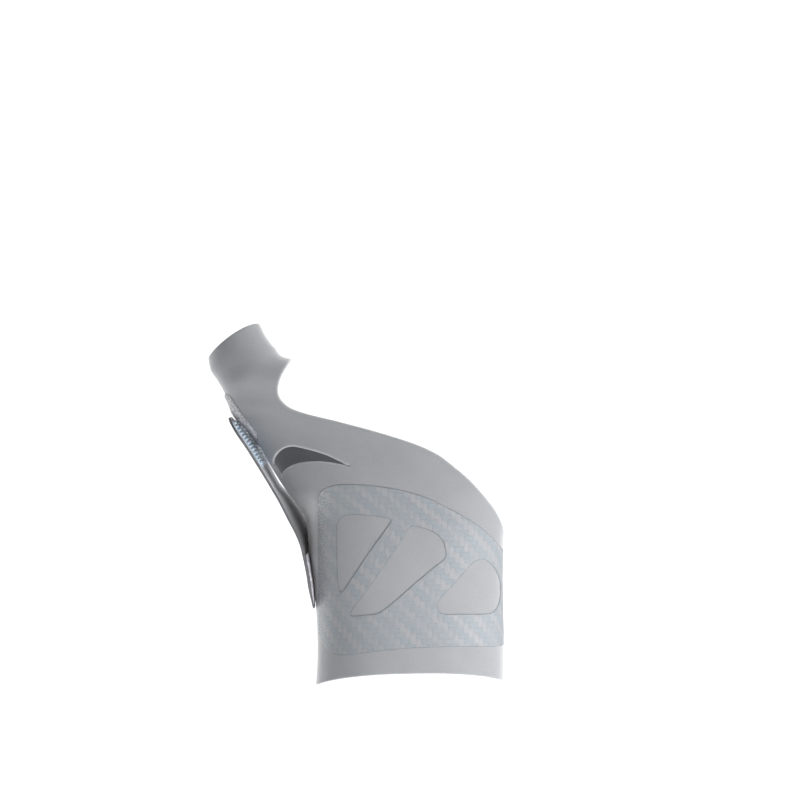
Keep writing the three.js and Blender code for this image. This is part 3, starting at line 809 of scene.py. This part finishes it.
def fuzz_group():
    """Loose fibres: a mottled value and a rough height, from a position in millimetres."""
    inputs = {"Place": (VECTOR, None), "Scale": (FLOAT, 1.0)}
    tree, given, leave = new_group("Loose fibres", inputs, {"Mottle": FLOAT, "Height": FLOAT})
    coarse = noise(tree, given["Place"], given["Scale"], 4.0)
    links = {"Vector": given["Place"], "Scale": calc(tree, "MULTIPLY", given["Scale"], 1.8)}
    cells = add_node(tree, "ShaderNodeTexVoronoi", links, feature="DISTANCE_TO_EDGE").outputs["Distance"]
    height = calc(tree, "ADD", calc(tree, "MULTIPLY", coarse, 0.6), calc(tree, "MULTIPLY", cells, 0.8))
    link_out(tree, leave, {"Mottle": coarse, "Height": height})
    return tree


def shared_group(name, maker):
    return bpy.data.node_groups.get(name) or maker()


def use_group(tree, name, maker, links):
    made = tree.nodes.new("ShaderNodeGroup")
    made.node_tree = shared_group(name, maker)
    for label, source in links.items():
        if isinstance(source, bpy.types.NodeSocket):
            tree.links.new(source, made.inputs[label])
        else:
            made.inputs[label].default_value = source
    return made.outputs


def linear(colour):
    """Scene-linear colour with alpha, from display values of 0 to 255."""
    shares = (c / 255 for c in colour)
    return (*(s / 12.92 if s <= 0.04045 else ((s + 0.055) / 1.055) ** 2.4 for s in shares), 1.0)


def new_material(name):
    made = bpy.data.materials.new(name)
    made.use_nodes = True
    return made, made.node_tree, made.node_tree.nodes["Principled BSDF"]


def cloth_place(tree):
    return add_node(tree, "ShaderNodeUVMap", uv_map="cloth").outputs["UV"]


def set_bump(tree, shader, height, distance):
    links = {"Height": height, "Distance": distance, "Strength": 1.0}
    tree.links.new(add_node(tree, "ShaderNodeBump", links).outputs["Normal"], shader.inputs["Normal"])


def spread(tree, value, low, high):
    """Moves a value of 0 to 1 into a range."""
    links = {"Value": value, "To Min": low, "To Max": high}
    return add_node(tree, "ShaderNodeMapRange", links).outputs["Result"]


def place_range(tree, axis, none, full):
    """0 to 1 between two places on one of the object's axes, in millimetres."""
    place = add_node(tree, "ShaderNodeTexCoord").outputs["Object"]
    part = add_node(tree, "ShaderNodeSeparateXYZ", {0: place}).outputs[axis]
    links = {"Value": part, "From Min": none * MM, "From Max": full * MM}
    return add_node(tree, "ShaderNodeMapRange", links).outputs["Result"]


def cloth_material(name, colour, look, rib_height, pitch, sheen, edge_amount, edge_colour,
                   low=None, painted_rim_light=None):
    """Fine knit cloth whose cut edge gets another colour. Where they are given, low is a painted shade at
    the strap lining's lower end, and the last argument a painted rim light on the cloth under that end."""
    made, tree, shader = new_material(name)
    place = cloth_place(tree)
    knit = use_group(tree, "Knit ribs", knit_group, {"Cloth": place, "Pitch": pitch, "Wander": 0.5})
    base = linear(colour)
    dark = tuple(c * (1 - look.mottle) for c in base[:3]) + (1.0,)
    light = tuple(min(c * (1 + look.mottle), 1.0) for c in base[:3]) + (1.0,)
    mottled = blend_colour(tree, spread(tree, knit["Shade"], -0.4, 1.4), dark, light)
    ribbed = blend_colour(tree, spread(tree, knit["Ribs"], 0.0, 0.2), mottled, (0.2, 0.2, 0.2, 1.0))
    # Painted shade: the lining darkens towards the strap's lower end, between strap and cuff
    if low is not None:
        ribbed = blend_colour(tree, place_range(tree, *LINING_PAINTED_SHADE), linear(low), ribbed)
    # Painted rim light: the cloth turns near-white where the strap's lower end keeps light off the cuff's side
    if painted_rim_light is not None:
        mask = 1.0
        for side in PAINTED_RIM_LIGHT_AREA:
            mask = calc(tree, "MULTIPLY", place_range(tree, *side), mask)
        ribbed = blend_colour(tree, mask, ribbed, linear(painted_rim_light))
    links = {
        "Color": ribbed,
        "Edge Color": linear(edge_colour),
        "Width": look.edge_width,
        "Amount": edge_amount,
        "Grain": place,
    }
    edged = use_group(tree, "Cut edge", edge_group, links)
    # Painted sheen: the colour turns near-white at grazing view
    grazing = add_node(tree, "ShaderNodeLayerWeight", {"Blend": 0.5}).outputs["Facing"]
    painted_sheen = calc(tree, "MULTIPLY", calc(tree, "POWER", grazing, 3.5), look.painted_sheen * sheen)
    with_painted_sheen = blend_colour(tree, painted_sheen, edged["Color"], (0.95, 0.95, 0.96, 1.0))
    tree.links.new(with_painted_sheen, shader.inputs["Base Color"])
    tree.links.new(spread(tree, knit["Shade"], 0.75, 0.95), shader.inputs["Roughness"])
    set_bump(tree, shader, knit["Height"], rib_height * MM)
    shader.inputs["Specular IOR Level"].default_value = 0.3
    shader.inputs["Sheen Weight"].default_value = sheen
    shader.inputs["Sheen Roughness"].default_value = 0.3
    shader.inputs["Sheen Tint"].default_value = (1.0, 1.0, 1.0, 1.0)
    return made


def film_material(look):
    """Half-gloss printed film: carbon twill, painted edge shadow, and painted glints on the thumb's side."""
    made, tree, shader = new_material("printed_film")
    place = cloth_place(tree)
    twill = use_group(tree, "Twill tows", twill_group, {"Cloth": place, "Tow": look.tow})
    patchy = noise(tree, place, 0.09, 3.0)
    tow_noise = noise(tree, place, 0.55, 1.0)
    warmth = spread(tree, tow_noise, -0.3, 1.3)
    upright = blend_colour(tree, warmth, linear(look.film_warm), linear(look.film_pale))
    level = blend_colour(tree, spread(tree, patchy, -0.2, 1.2), linear(look.film_cool), linear(look.film_green))
    woven = blend_colour(tree, twill["Upright"], level, upright)
    links = {"Value": patchy, "From Min": 0.38, "From Max": 0.62, "To Min": 0.25}
    worn = add_node(tree, "ShaderNodeMapRange", links).outputs["Result"]
    woven = blend_colour(tree, worn, linear(look.film_plain), woven)
    streaked = blend_colour(tree, spread(tree, twill["Streak"], 0.3, 0.0), woven, (0.9, 0.92, 0.95, 1.0))
    sunk = blend_colour(tree, spread(tree, twill["Height"], 0.16, 0.0), streaked, (0.15, 0.16, 0.17, 1.0))
    # The dark outline is a painted shadow of the film's raised edge
    links = {
        "Color": sunk,
        "Edge Color": linear(look.outline_shadow_colour),
        "Width": look.outline_width,
        "Amount": 0.65,
        "Grain": place,
    }
    edged = use_group(tree, "Cut edge", edge_group, links)
    # Painted glints: near-white specks towards the thumb's side, standing in for reflections off the film's
    # rough face
    links = {"Value": noise(tree, place, 2.6, 3.0), "From Min": 0.53, "From Max": 0.6}
    glint = add_node(tree, "ShaderNodeMapRange", links).outputs["Result"]
    glint = calc(tree, "MULTIPLY", calc(tree, "MULTIPLY", glint, place_range(tree, *GLINTS)), 0.8)
    glinting = blend_colour(tree, glint, edged["Color"], (0.86, 0.87, 0.88, 1.0))
    tree.links.new(glinting, shader.inputs["Base Color"])
    links = {"Vector": place, "Scale": 2.2}
    flakes = add_node(tree, "ShaderNodeTexVoronoi", links).outputs["Color"]
    flake = calc(tree, "GREATER_THAN", add_node(tree, "ShaderNodeSeparateColor", {0: flakes}).outputs[0], 0.86)
    rough = calc(tree, "MULTIPLY_ADD", flake, -0.25, spread(tree, twill["Streak"], 0.5, 0.72))
    tree.links.new(rough, shader.inputs["Roughness"])
    speck = noise(tree, place, 1.3, 4.0)
    height = calc(tree, "ADD", twill["Height"], calc(tree, "MULTIPLY", twill["Streak"], 0.35))
    height = calc(tree, "ADD", height, calc(tree, "MULTIPLY", speck, 1.2))
    set_bump(tree, shader, height, 0.08 * MM)
    shader.inputs["Specular IOR Level"].default_value = 0.28
    return made


def object_mm(tree):
    """The place on the object, in millimetres."""
    links = {0: add_node(tree, "ShaderNodeTexCoord").outputs["Object"], 1: (1000.0,) * 3}
    return add_node(tree, "ShaderNodeVectorMath", links, operation="MULTIPLY").outputs[0]


def fuzz_material(name, dark, light, scale, height, painted_shadow, edge_amount):
    """Brushed loop tape, darker along its cut edge and under a painted shadow of the strap, given as a
    direction, where along it the shadow is full, and where it ends."""
    made, tree, shader = new_material(name)
    scaled = object_mm(tree)
    fuzz = use_group(tree, "Loose fibres", fuzz_group, {"Place": scaled, "Scale": scale})
    colour = blend_colour(tree, spread(tree, fuzz["Mottle"], -0.8, 1.8), linear(dark), linear(light))
    # Painted shadow of the strap on the loop patch: a near-black band along a direction
    direction, full, end = painted_shadow
    links = {0: scaled, 1: direction}
    passed = add_node(tree, "ShaderNodeVectorMath", links, operation="DOT_PRODUCT").outputs["Value"]
    links = {"Value": passed, "From Min": full, "From Max": end, "To Min": 0.7, "To Max": 0.0}
    painted_shadow_mask = add_node(tree, "ShaderNodeMapRange", links).outputs["Result"]
    colour = blend_colour(tree, painted_shadow_mask, colour, (0.1, 0.095, 0.115, 1.0))
    links = {
        "Color": colour,
        "Edge Color": (0.1, 0.1, 0.11, 1.0),
        "Width": 0.35,
        "Amount": edge_amount,
        "Grain": scaled,
    }
    edged = use_group(tree, "Cut edge", edge_group, links)
    tree.links.new(edged["Color"], shader.inputs["Base Color"])
    tree.links.new(spread(tree, fuzz["Mottle"], 0.8, 1.0), shader.inputs["Roughness"])
    set_bump(tree, shader, fuzz["Height"], height * MM)
    shader.inputs["Sheen Weight"].default_value = 0.6
    shader.inputs["Sheen Roughness"].default_value = 0.5
    return made


def hook_material(name, colour):
    """Moulded plastic hooks, slightly clear."""
    made, tree, shader = new_material(name)
    scaled = object_mm(tree)
    fuzz = use_group(tree, "Loose fibres", fuzz_group, {"Place": scaled, "Scale": 0.8})
    base = linear(colour)
    dark = tuple(c * 0.8 for c in base[:3]) + (1.0,)
    tree.links.new(blend_colour(tree, fuzz["Mottle"], dark, base), shader.inputs["Base Color"])
    tree.links.new(spread(tree, fuzz["Mottle"], 0.35, 0.6), shader.inputs["Roughness"])
    set_bump(tree, shader, fuzz["Height"], 0.03 * MM)
    shader.inputs["Subsurface Weight"].default_value = 0.15
    shader.inputs["Subsurface Scale"].default_value = 0.0008
    return made


def pale_material():
    """Matt pale paper of the studio's sweep."""
    made, tree, shader = new_material("pale_sweep")
    place = add_node(tree, "ShaderNodeTexCoord").outputs["Object"]
    dust = noise(tree, place, 3.0)
    paper = blend_colour(tree, dust, (0.86, 0.86, 0.86, 1.0), (0.9, 0.9, 0.9, 1.0))
    tree.links.new(paper, shader.inputs["Base Color"])
    tree.links.new(spread(tree, dust, 0.8, 0.9), shader.inputs["Roughness"])
    return made


# Settings

class SplintBuild(PropertyGroup):
    """Sizes that the operators build with."""

    wall: FloatProperty(name="Cloth wall", description="Thickness of the sleeve's cloth, in mm", default=1.1)
    film: FloatProperty(name="Film", description="Thickness of the printed film, in mm", default=0.09)
    strap: FloatProperty(name="Strap", description="Thickness of the strap, in mm", default=0.85)
    around: IntProperty(name="Steps around", description="Columns of the sleeve's mesh", default=216)
    along: IntProperty(name="Steps along", description="Rows of the sleeve's mesh", default=180)
    hook_pitch: FloatProperty(name="Hook pitch", description="Spacing of the hook rows, in mm", default=1.4)
    loops: IntProperty(name="Loops", description="Loose loops on the loop patch", default=900)
    seed: IntProperty(name="Seed", description="Seed of the loose fibres", default=4)


class SplintLook(PropertyGroup):
    """Colours as display values of 0 to 255, and the cloth's small marks."""

    cloth: FloatVectorProperty(name="Cloth", description="Outer cloth", default=(172, 174, 178))
    # Painted rim light on the cloth under the strap's lower end
    painted_rim_light: FloatVectorProperty(
        name="Brushed", description="Cloth beside the lower pad", default=(236, 237, 238))
    # Inner cloth, darker than the outer cloth as painted shade for the sleeve's inside
    lining: FloatVectorProperty(name="Lining", description="Inner cloth", default=(150, 151, 155))
    # Light cut edge: a painted highlight along the sleeve's cut edges
    edge_colour: FloatVectorProperty(name="Cut edge", description="Light cut edge", default=(203, 204, 207))
    edge_width: FloatProperty(name="Edge width", description="Width of the light edge, in mm", default=0.36)
    strap_edge: FloatVectorProperty(
        name="Strap edge", description="Cut edge of the strap", default=(92, 92, 96))
    # Painted shade for the strap lining's lower end, between the strap and the cuff
    strap_lining_painted_shade: FloatVectorProperty(
        name="Low lining", description="Strap's lining by the cuff", default=(62, 62, 66))
    strap: FloatVectorProperty(name="Strap", description="Outer cloth of the strap", default=(164, 165, 169))
    strap_lining: FloatVectorProperty(
        name="Strap lining", description="Inner cloth of the strap", default=(192, 193, 197))
    # Painted sheen: lightening of the colour at grazing view, for the sheen of loose fibres
    painted_sheen: FloatProperty(name="Halo", description="Lightening by loose fibres at grazing view", default=0.9)
    mottle: FloatProperty(name="Mottle", description="Share by which the cloth's colour varies", default=0.13)
    tow: FloatProperty(name="Tow", description="Width of a tow of the twill, in mm", default=1.9)
    film_plain: FloatVectorProperty(
        name="Plain film", description="Film between clear tows", default=(149, 155, 161))
    film_warm: FloatVectorProperty(name="Warm tow", description="Pinkish tows", default=(157, 155, 158))
    film_pale: FloatVectorProperty(name="Pale tow", description="Pale tows", default=(163, 167, 171))
    film_cool: FloatVectorProperty(name="Cool tow", description="Bluish tows", default=(139, 149, 161))
    film_green: FloatVectorProperty(name="Green tow", description="Greenish tows", default=(143, 152, 158))
    # The film's dark outline is a painted shadow of its raised edge
    outline_width: FloatProperty(
        name="Outline width", description="Width of the film's outline, in mm", default=0.34)
    outline_shadow_colour: FloatVectorProperty(name="Outline", description="Film's outline", default=(112, 118, 122))


class SplintLight(PropertyGroup):
    """Power of the studio lights in watts."""

    key: FloatProperty(name="Key", description="Soft light from the right", default=4.15, unit="POWER")
    fill: FloatProperty(name="Fill", description="Soft light from the front", default=2.05, unit="POWER")
    side: FloatProperty(name="Side", description="Low light from the left", default=0.04, unit="POWER")
    rim: FloatProperty(name="Rim", description="Light behind the left side", default=2.0, unit="POWER")
    back: FloatProperty(name="Back", description="Light on the sweep", default=45.0, unit="POWER")
    sky: FloatProperty(name="Sky", description="Strength of the surroundings", default=0.26)


# Operators

def area_light(name, place, target, size, power):
    data = bpy.data.lights.new(name, "AREA")
    data.shape = "SQUARE"
    data.size = size
    data.energy = power
    made = bpy.data.objects.new(name, data)
    bpy.context.scene.collection.objects.link(made)
    made.location = place
    made.rotation_euler = (Vector(target) - Vector(place)).to_track_quat("-Z", "Y").to_euler()
    return made


class SPLINT_OT_stage(Operator):
    """Camera at the photographed angle, soft lights and a pale sweep."""

    bl_idname = "splint.stage"
    bl_label = "Stage"

    def execute(self, context):
        scene, light = context.scene, context.scene.splint_light
        camera = bpy.data.cameras.new("camera")
        camera.sensor_width = SENSOR_WIDTH
        camera.lens = SENSOR_WIDTH * -CAMERA_PLACE[1] / SEEN_WIDTH
        camera.clip_start, camera.clip_end = 0.05, 20.0
        holder = bpy.data.objects.new("camera", camera)
        scene.collection.objects.link(holder)
        holder.location = CAMERA_PLACE
        holder.rotation_euler = (math.pi / 2, 0.0, 0.0)
        scene.camera = holder
        for name, place, target, size in LIGHTS:
            area_light(name, place, target, size, getattr(light, name))
        world = bpy.data.worlds.new("surroundings")
        world.use_nodes = True
        background = world.node_tree.nodes["Background"]
        background.inputs["Color"].default_value = (1.0, 1.0, 1.0, 1.0)
        background.inputs["Strength"].default_value = light.sky
        scene.world = world
        scene.view_settings.view_transform = "Standard"
        self.sweep()
        return {"FINISHED"}

    def sweep(self):
        """Floor that curves up into a backdrop behind the object."""
        floor, back, radius, half, top = -0.25, 2.4, 0.8, 4.0, 2.6
        turns = np.linspace(0, math.pi / 2, 25)
        profile = [(-4.0, floor)]
        profile += [(back - radius + radius * math.sin(t), floor + radius * (1 - math.cos(t))) for t in turns]
        profile.append((back, top))
        vertices = np.array([(x, y, z) for y, z in profile for x in (-half, half)])
        faces = [(2 * i, 2 * i + 1, 2 * i + 3, 2 * i + 2) for i in range(len(profile) - 1)]
        make_mesh("sweep", vertices, faces, [pale_material()], [0] * len(faces))


def sleeve_sheet(build):
    return Sheet(sleeve_place, sleeve_keep, (0.25, 1.25), (0, LAST_SECTION), build.around, build.along, True)


class SPLINT_OT_sleeve(Operator):
    """Thin cloth sleeve with its hand opening and its slit."""

    bl_idname = "splint.sleeve"
    bl_label = "Sleeve"

    def execute(self, context):
        build, look = context.scene.splint_build, context.scene.splint_look
        # The outer cloth gets a painted rim light under the strap's lower end, and both faces a painted
        # highlight along their cut edges
        outer = cloth_material(
            "sleeve_cloth", look.cloth, look, 0.08, 0.75, 1.0, 0.75, look.edge_colour, painted_rim_light=look.painted_rim_light)
        # The lining's darker colour is painted shade for the sleeve's inside
        inner = cloth_material("sleeve_lining", look.lining, look, 0.04, 0.5, 0.1, 0.5, look.edge_colour)
        piece = lay_cloth("sleeve_cloth", sleeve_sheet(build), 0, -build.wall, [outer, inner], sleeve_cloth_map)
        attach(piece, "root")
        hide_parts("sleeve")
        return {"FINISHED"}


class SPLINT_OT_film(Operator):
    """Printed film with its three windows."""

    bl_idname = "splint.film"
    bl_label = "Film"

    def execute(self, context):
        build, look = context.scene.splint_build, context.scene.splint_look
        sheet = Sheet(sleeve_place, film_keep, *FILM_GRID, False)
        sheet.point_depth = sheet.point_depth + self.faded(sheet)
        outer = FILM_LIFT + build.film
        piece = lay_cloth("film_print", sheet, outer, FILM_LIFT, [film_material(look)], sleeve_cloth_map)
        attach(piece, "root")
        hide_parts("support_film")
        return {"FINISHED"}

    def faded(self, sheet):
        """Distance that hides the painted edge shadow towards the thumb's side, where it fades out."""
        x = sheet.place(*sheet.points.T)[0][:, 0]
        return smooth_step(-x, SHADOW_LINE_FADE_START * CUFF_WIDTH, SHADOW_LINE_FADE_END * CUFF_WIDTH)


class SPLINT_OT_patch(Operator):
    """Brushed loop patch on the thumb's collar, with loose loops on its face."""

    bl_idname = "splint.patch"
    bl_label = "Loop patch"

    def execute(self, context):
        build = context.scene.splint_build
        sheet = Sheet(sleeve_place, patch_keep, *PATCH_GRID, False)
        fuzz = fuzz_material("loop_fuzz", *LOOP_COLOURS, 1.2, 0.3, PATCH_PAINTED_SHADOW, 0.6)
        yarn = fuzz_material("loop_yarn", *YARN_COLOURS, 0.9, 0.1, PATCH_PAINTED_SHADOW, 0.0)
        z = sheet.place(*sheet.points.T)[0][:, 2] / SLEEVE_HEIGHT
        swell = smooth_step(z, *PATCH_SWELL_RISE) * (1 - smooth_step(z, *PATCH_SWELL_FALL))
        border = smooth_step(sheet.point_depth, 0, PATCH_BORDER)
        outer = PATCH_LIFT + PATCH_EDGE + (PATCH_FACE + PATCH_SWELL * swell) * border
        piece = lay_cloth("loop_patch_base", sheet, outer, PATCH_LIFT, [fuzz], sleeve_cloth_map)
        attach(piece, "root")
        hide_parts("loop_patch")
        pile = loose_loops("loop_patch_pile", sheet, build.loops, build.seed, *PATCH_LOOPS, yarn)
        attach(pile, "root")
        return {"FINISHED"}


def strip_sheet(start, end, margin, corner, steps_along, steps_across):
    """Sheet on the strap's line between two distances from its upper tip."""
    keep = strip_keep(start, end, margin, STRAP_WIDTH - margin, corner)
    along = (start - 0.5, end + 0.5)
    across = (margin - 0.5, STRAP_WIDTH - margin + 0.5)
    return Sheet(lambda a, b: strap_place(b, a), lambda a, b, p: keep(b, a, p), across, along,
                 steps_across, steps_along, False)


def side_map(ab):
    return ab.copy()


class SPLINT_OT_strap(Operator):
    """Cloth strap from the thumb's collar to the cuff."""

    bl_idname = "splint.strap"
    bl_label = "Strap"

    def execute(self, context):
        build, look = context.scene.splint_build, context.scene.splint_look
        sheet = strip_sheet(0, strap_length(), 0, STRAP_TIP_RADIUS, *STRAP_GRID)
        outer = cloth_material("strap_cloth", look.strap, look, 0.05, 0.6, 0.1, 0.7, look.strap_edge)
        inner = cloth_material(
            "strap_lining", look.strap_lining, look, 0.05, 0.6, 0.2, 0.0, look.strap_edge, low=look.strap_lining_painted_shade)
        lift = strap_lift(sheet.points[:, 1])
        end = smooth_step(sheet.points[:, 1], strap_length() - STRAP_END_STRETCH, strap_length())
        face = lift + build.strap * (1 - STRAP_END_THINNING * end)
        piece = lay_cloth("strap_cloth", sheet, face, lift, [outer, inner], side_map)
        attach(piece, "root")
        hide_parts("strap")
        return {"FINISHED"}


class SPLINT_OT_pads(Operator):
    """Hook pads at the strap's two ends."""

    bl_idname = "splint.pads"
    bl_label = "Hook pads"

    def execute(self, context):
        build = context.scene.splint_build
        upper = (PAD_TIP_MARGIN, PAD_TIP_MARGIN + UPPER_PAD_LENGTH)
        lower_end = strap_length() - PAD_TIP_MARGIN
        lower = (lower_end - LOWER_PAD_LENGTH, lower_end)
        blue = hook_material("hook_plastic", HOOK_COLOUR)
        lilac = fuzz_material("lower_pad_fuzz", *LOWER_PAD_COLOURS, 0.9, 0.2, NO_PAINTED_SHADOW, 0.0)
        self.pad("upper_hook", upper, blue, UPPER_PAD_FOOT)
        self.dress("upper_hook", self.ridges(build, upper, blue))
        sheet = self.pad("lower_hook", lower, lilac, LOWER_PAD_FOOT)
        pile = loose_loops("lower_hook_pile", sheet, LOWER_LOOPS, build.seed, *LOWER_PAD_LOOPS, lilac)
        self.dress("lower_hook", pile)
        return {"FINISHED"}

    def pad(self, slot, ends, material, inner):
        """The pad's backing, from the strap's side down to inner, the foot of its hooks."""
        sheet = strip_sheet(*ends, PAD_EDGE_MARGIN, PAD_CORNER, *PAD_GRID)
        outer = strap_lift(sheet.points[:, 1]) - PAD_GAP
        inner = np.minimum(inner, outer - LEAST_BACKING)
        piece = lay_cloth(f"{slot}_base", sheet, outer, inner, [material], side_map)
        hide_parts(f"{slot}_pad")
        self.dress(slot, piece)
        return sheet

    def dress(self, slot, piece):
        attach(piece, "root")

    def ridges(self, build, ends, material):
        """Moulded ridges across the pad, each a rounded lobe that leans towards the strap's lower end."""
        rods = []
        rows = int((ends[1] - ends[0] - RIDGE_FREE) / build.hook_pitch) + 1
        for i in range(rows):
            inset = RIDGE_CORNER_INSET if i in (0, rows - 1) else RIDGE_INSET
            near, far = PAD_EDGE_MARGIN + inset, STRAP_WIDTH - PAD_EDGE_MARGIN - inset
            sides = np.linspace(near, far, RIDGE_POINTS)
            for along, lift, radius in RIDGE_RODS:
                distance = ends[0] + RIDGE_START + i * build.hook_pitch + along
                points, normals = strap_place(np.full(RIDGE_POINTS, distance), sides)
                rods.append(bent_rod(points + normals * lift, radius, ROD_SIDES))
        return join_rods("upper_hook_ridges", rods, material)


class SPLINT_PT_panel(Panel):
    """Buttons and settings in the sidebar."""

    bl_label = "Splint"
    bl_idname = "SPLINT_PT_panel"
    bl_space_type = "VIEW_3D"
    bl_region_type = "UI"
    bl_category = "Splint"

    def draw(self, context):
        for made in OPERATORS:
            self.layout.operator(made.bl_idname)
        for group in (context.scene.splint_build, context.scene.splint_look, context.scene.splint_light):
            for name in group.bl_rna.properties.keys():
                if name not in ("rna_type", "name"):
                    self.layout.prop(group, name)


OPERATORS = (
    SPLINT_OT_stage,
    SPLINT_OT_sleeve,
    SPLINT_OT_film,
    SPLINT_OT_patch,
    SPLINT_OT_strap,
    SPLINT_OT_pads,
)
CLASSES = (SplintBuild, SplintLook, SplintLight, *OPERATORS, SPLINT_PT_panel)


def register():
    for made in CLASSES:
        bpy.utils.register_class(made)
    bpy.types.Scene.splint_build = PointerProperty(type=SplintBuild)
    bpy.types.Scene.splint_look = PointerProperty(type=SplintLook)
    bpy.types.Scene.splint_light = PointerProperty(type=SplintLight)


def unregister():
    del bpy.types.Scene.splint_light
    del bpy.types.Scene.splint_look
    del bpy.types.Scene.splint_build
    for made in reversed(CLASSES):
        bpy.utils.unregister_class(made)


def main():
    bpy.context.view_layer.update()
    register()
    for name in ("stage", "sleeve", "film", "patch", "strap", "pads"):
        getattr(bpy.ops.splint, name)()
    bpy.context.view_layer.update()


if __name__ == "__main__":
    main()
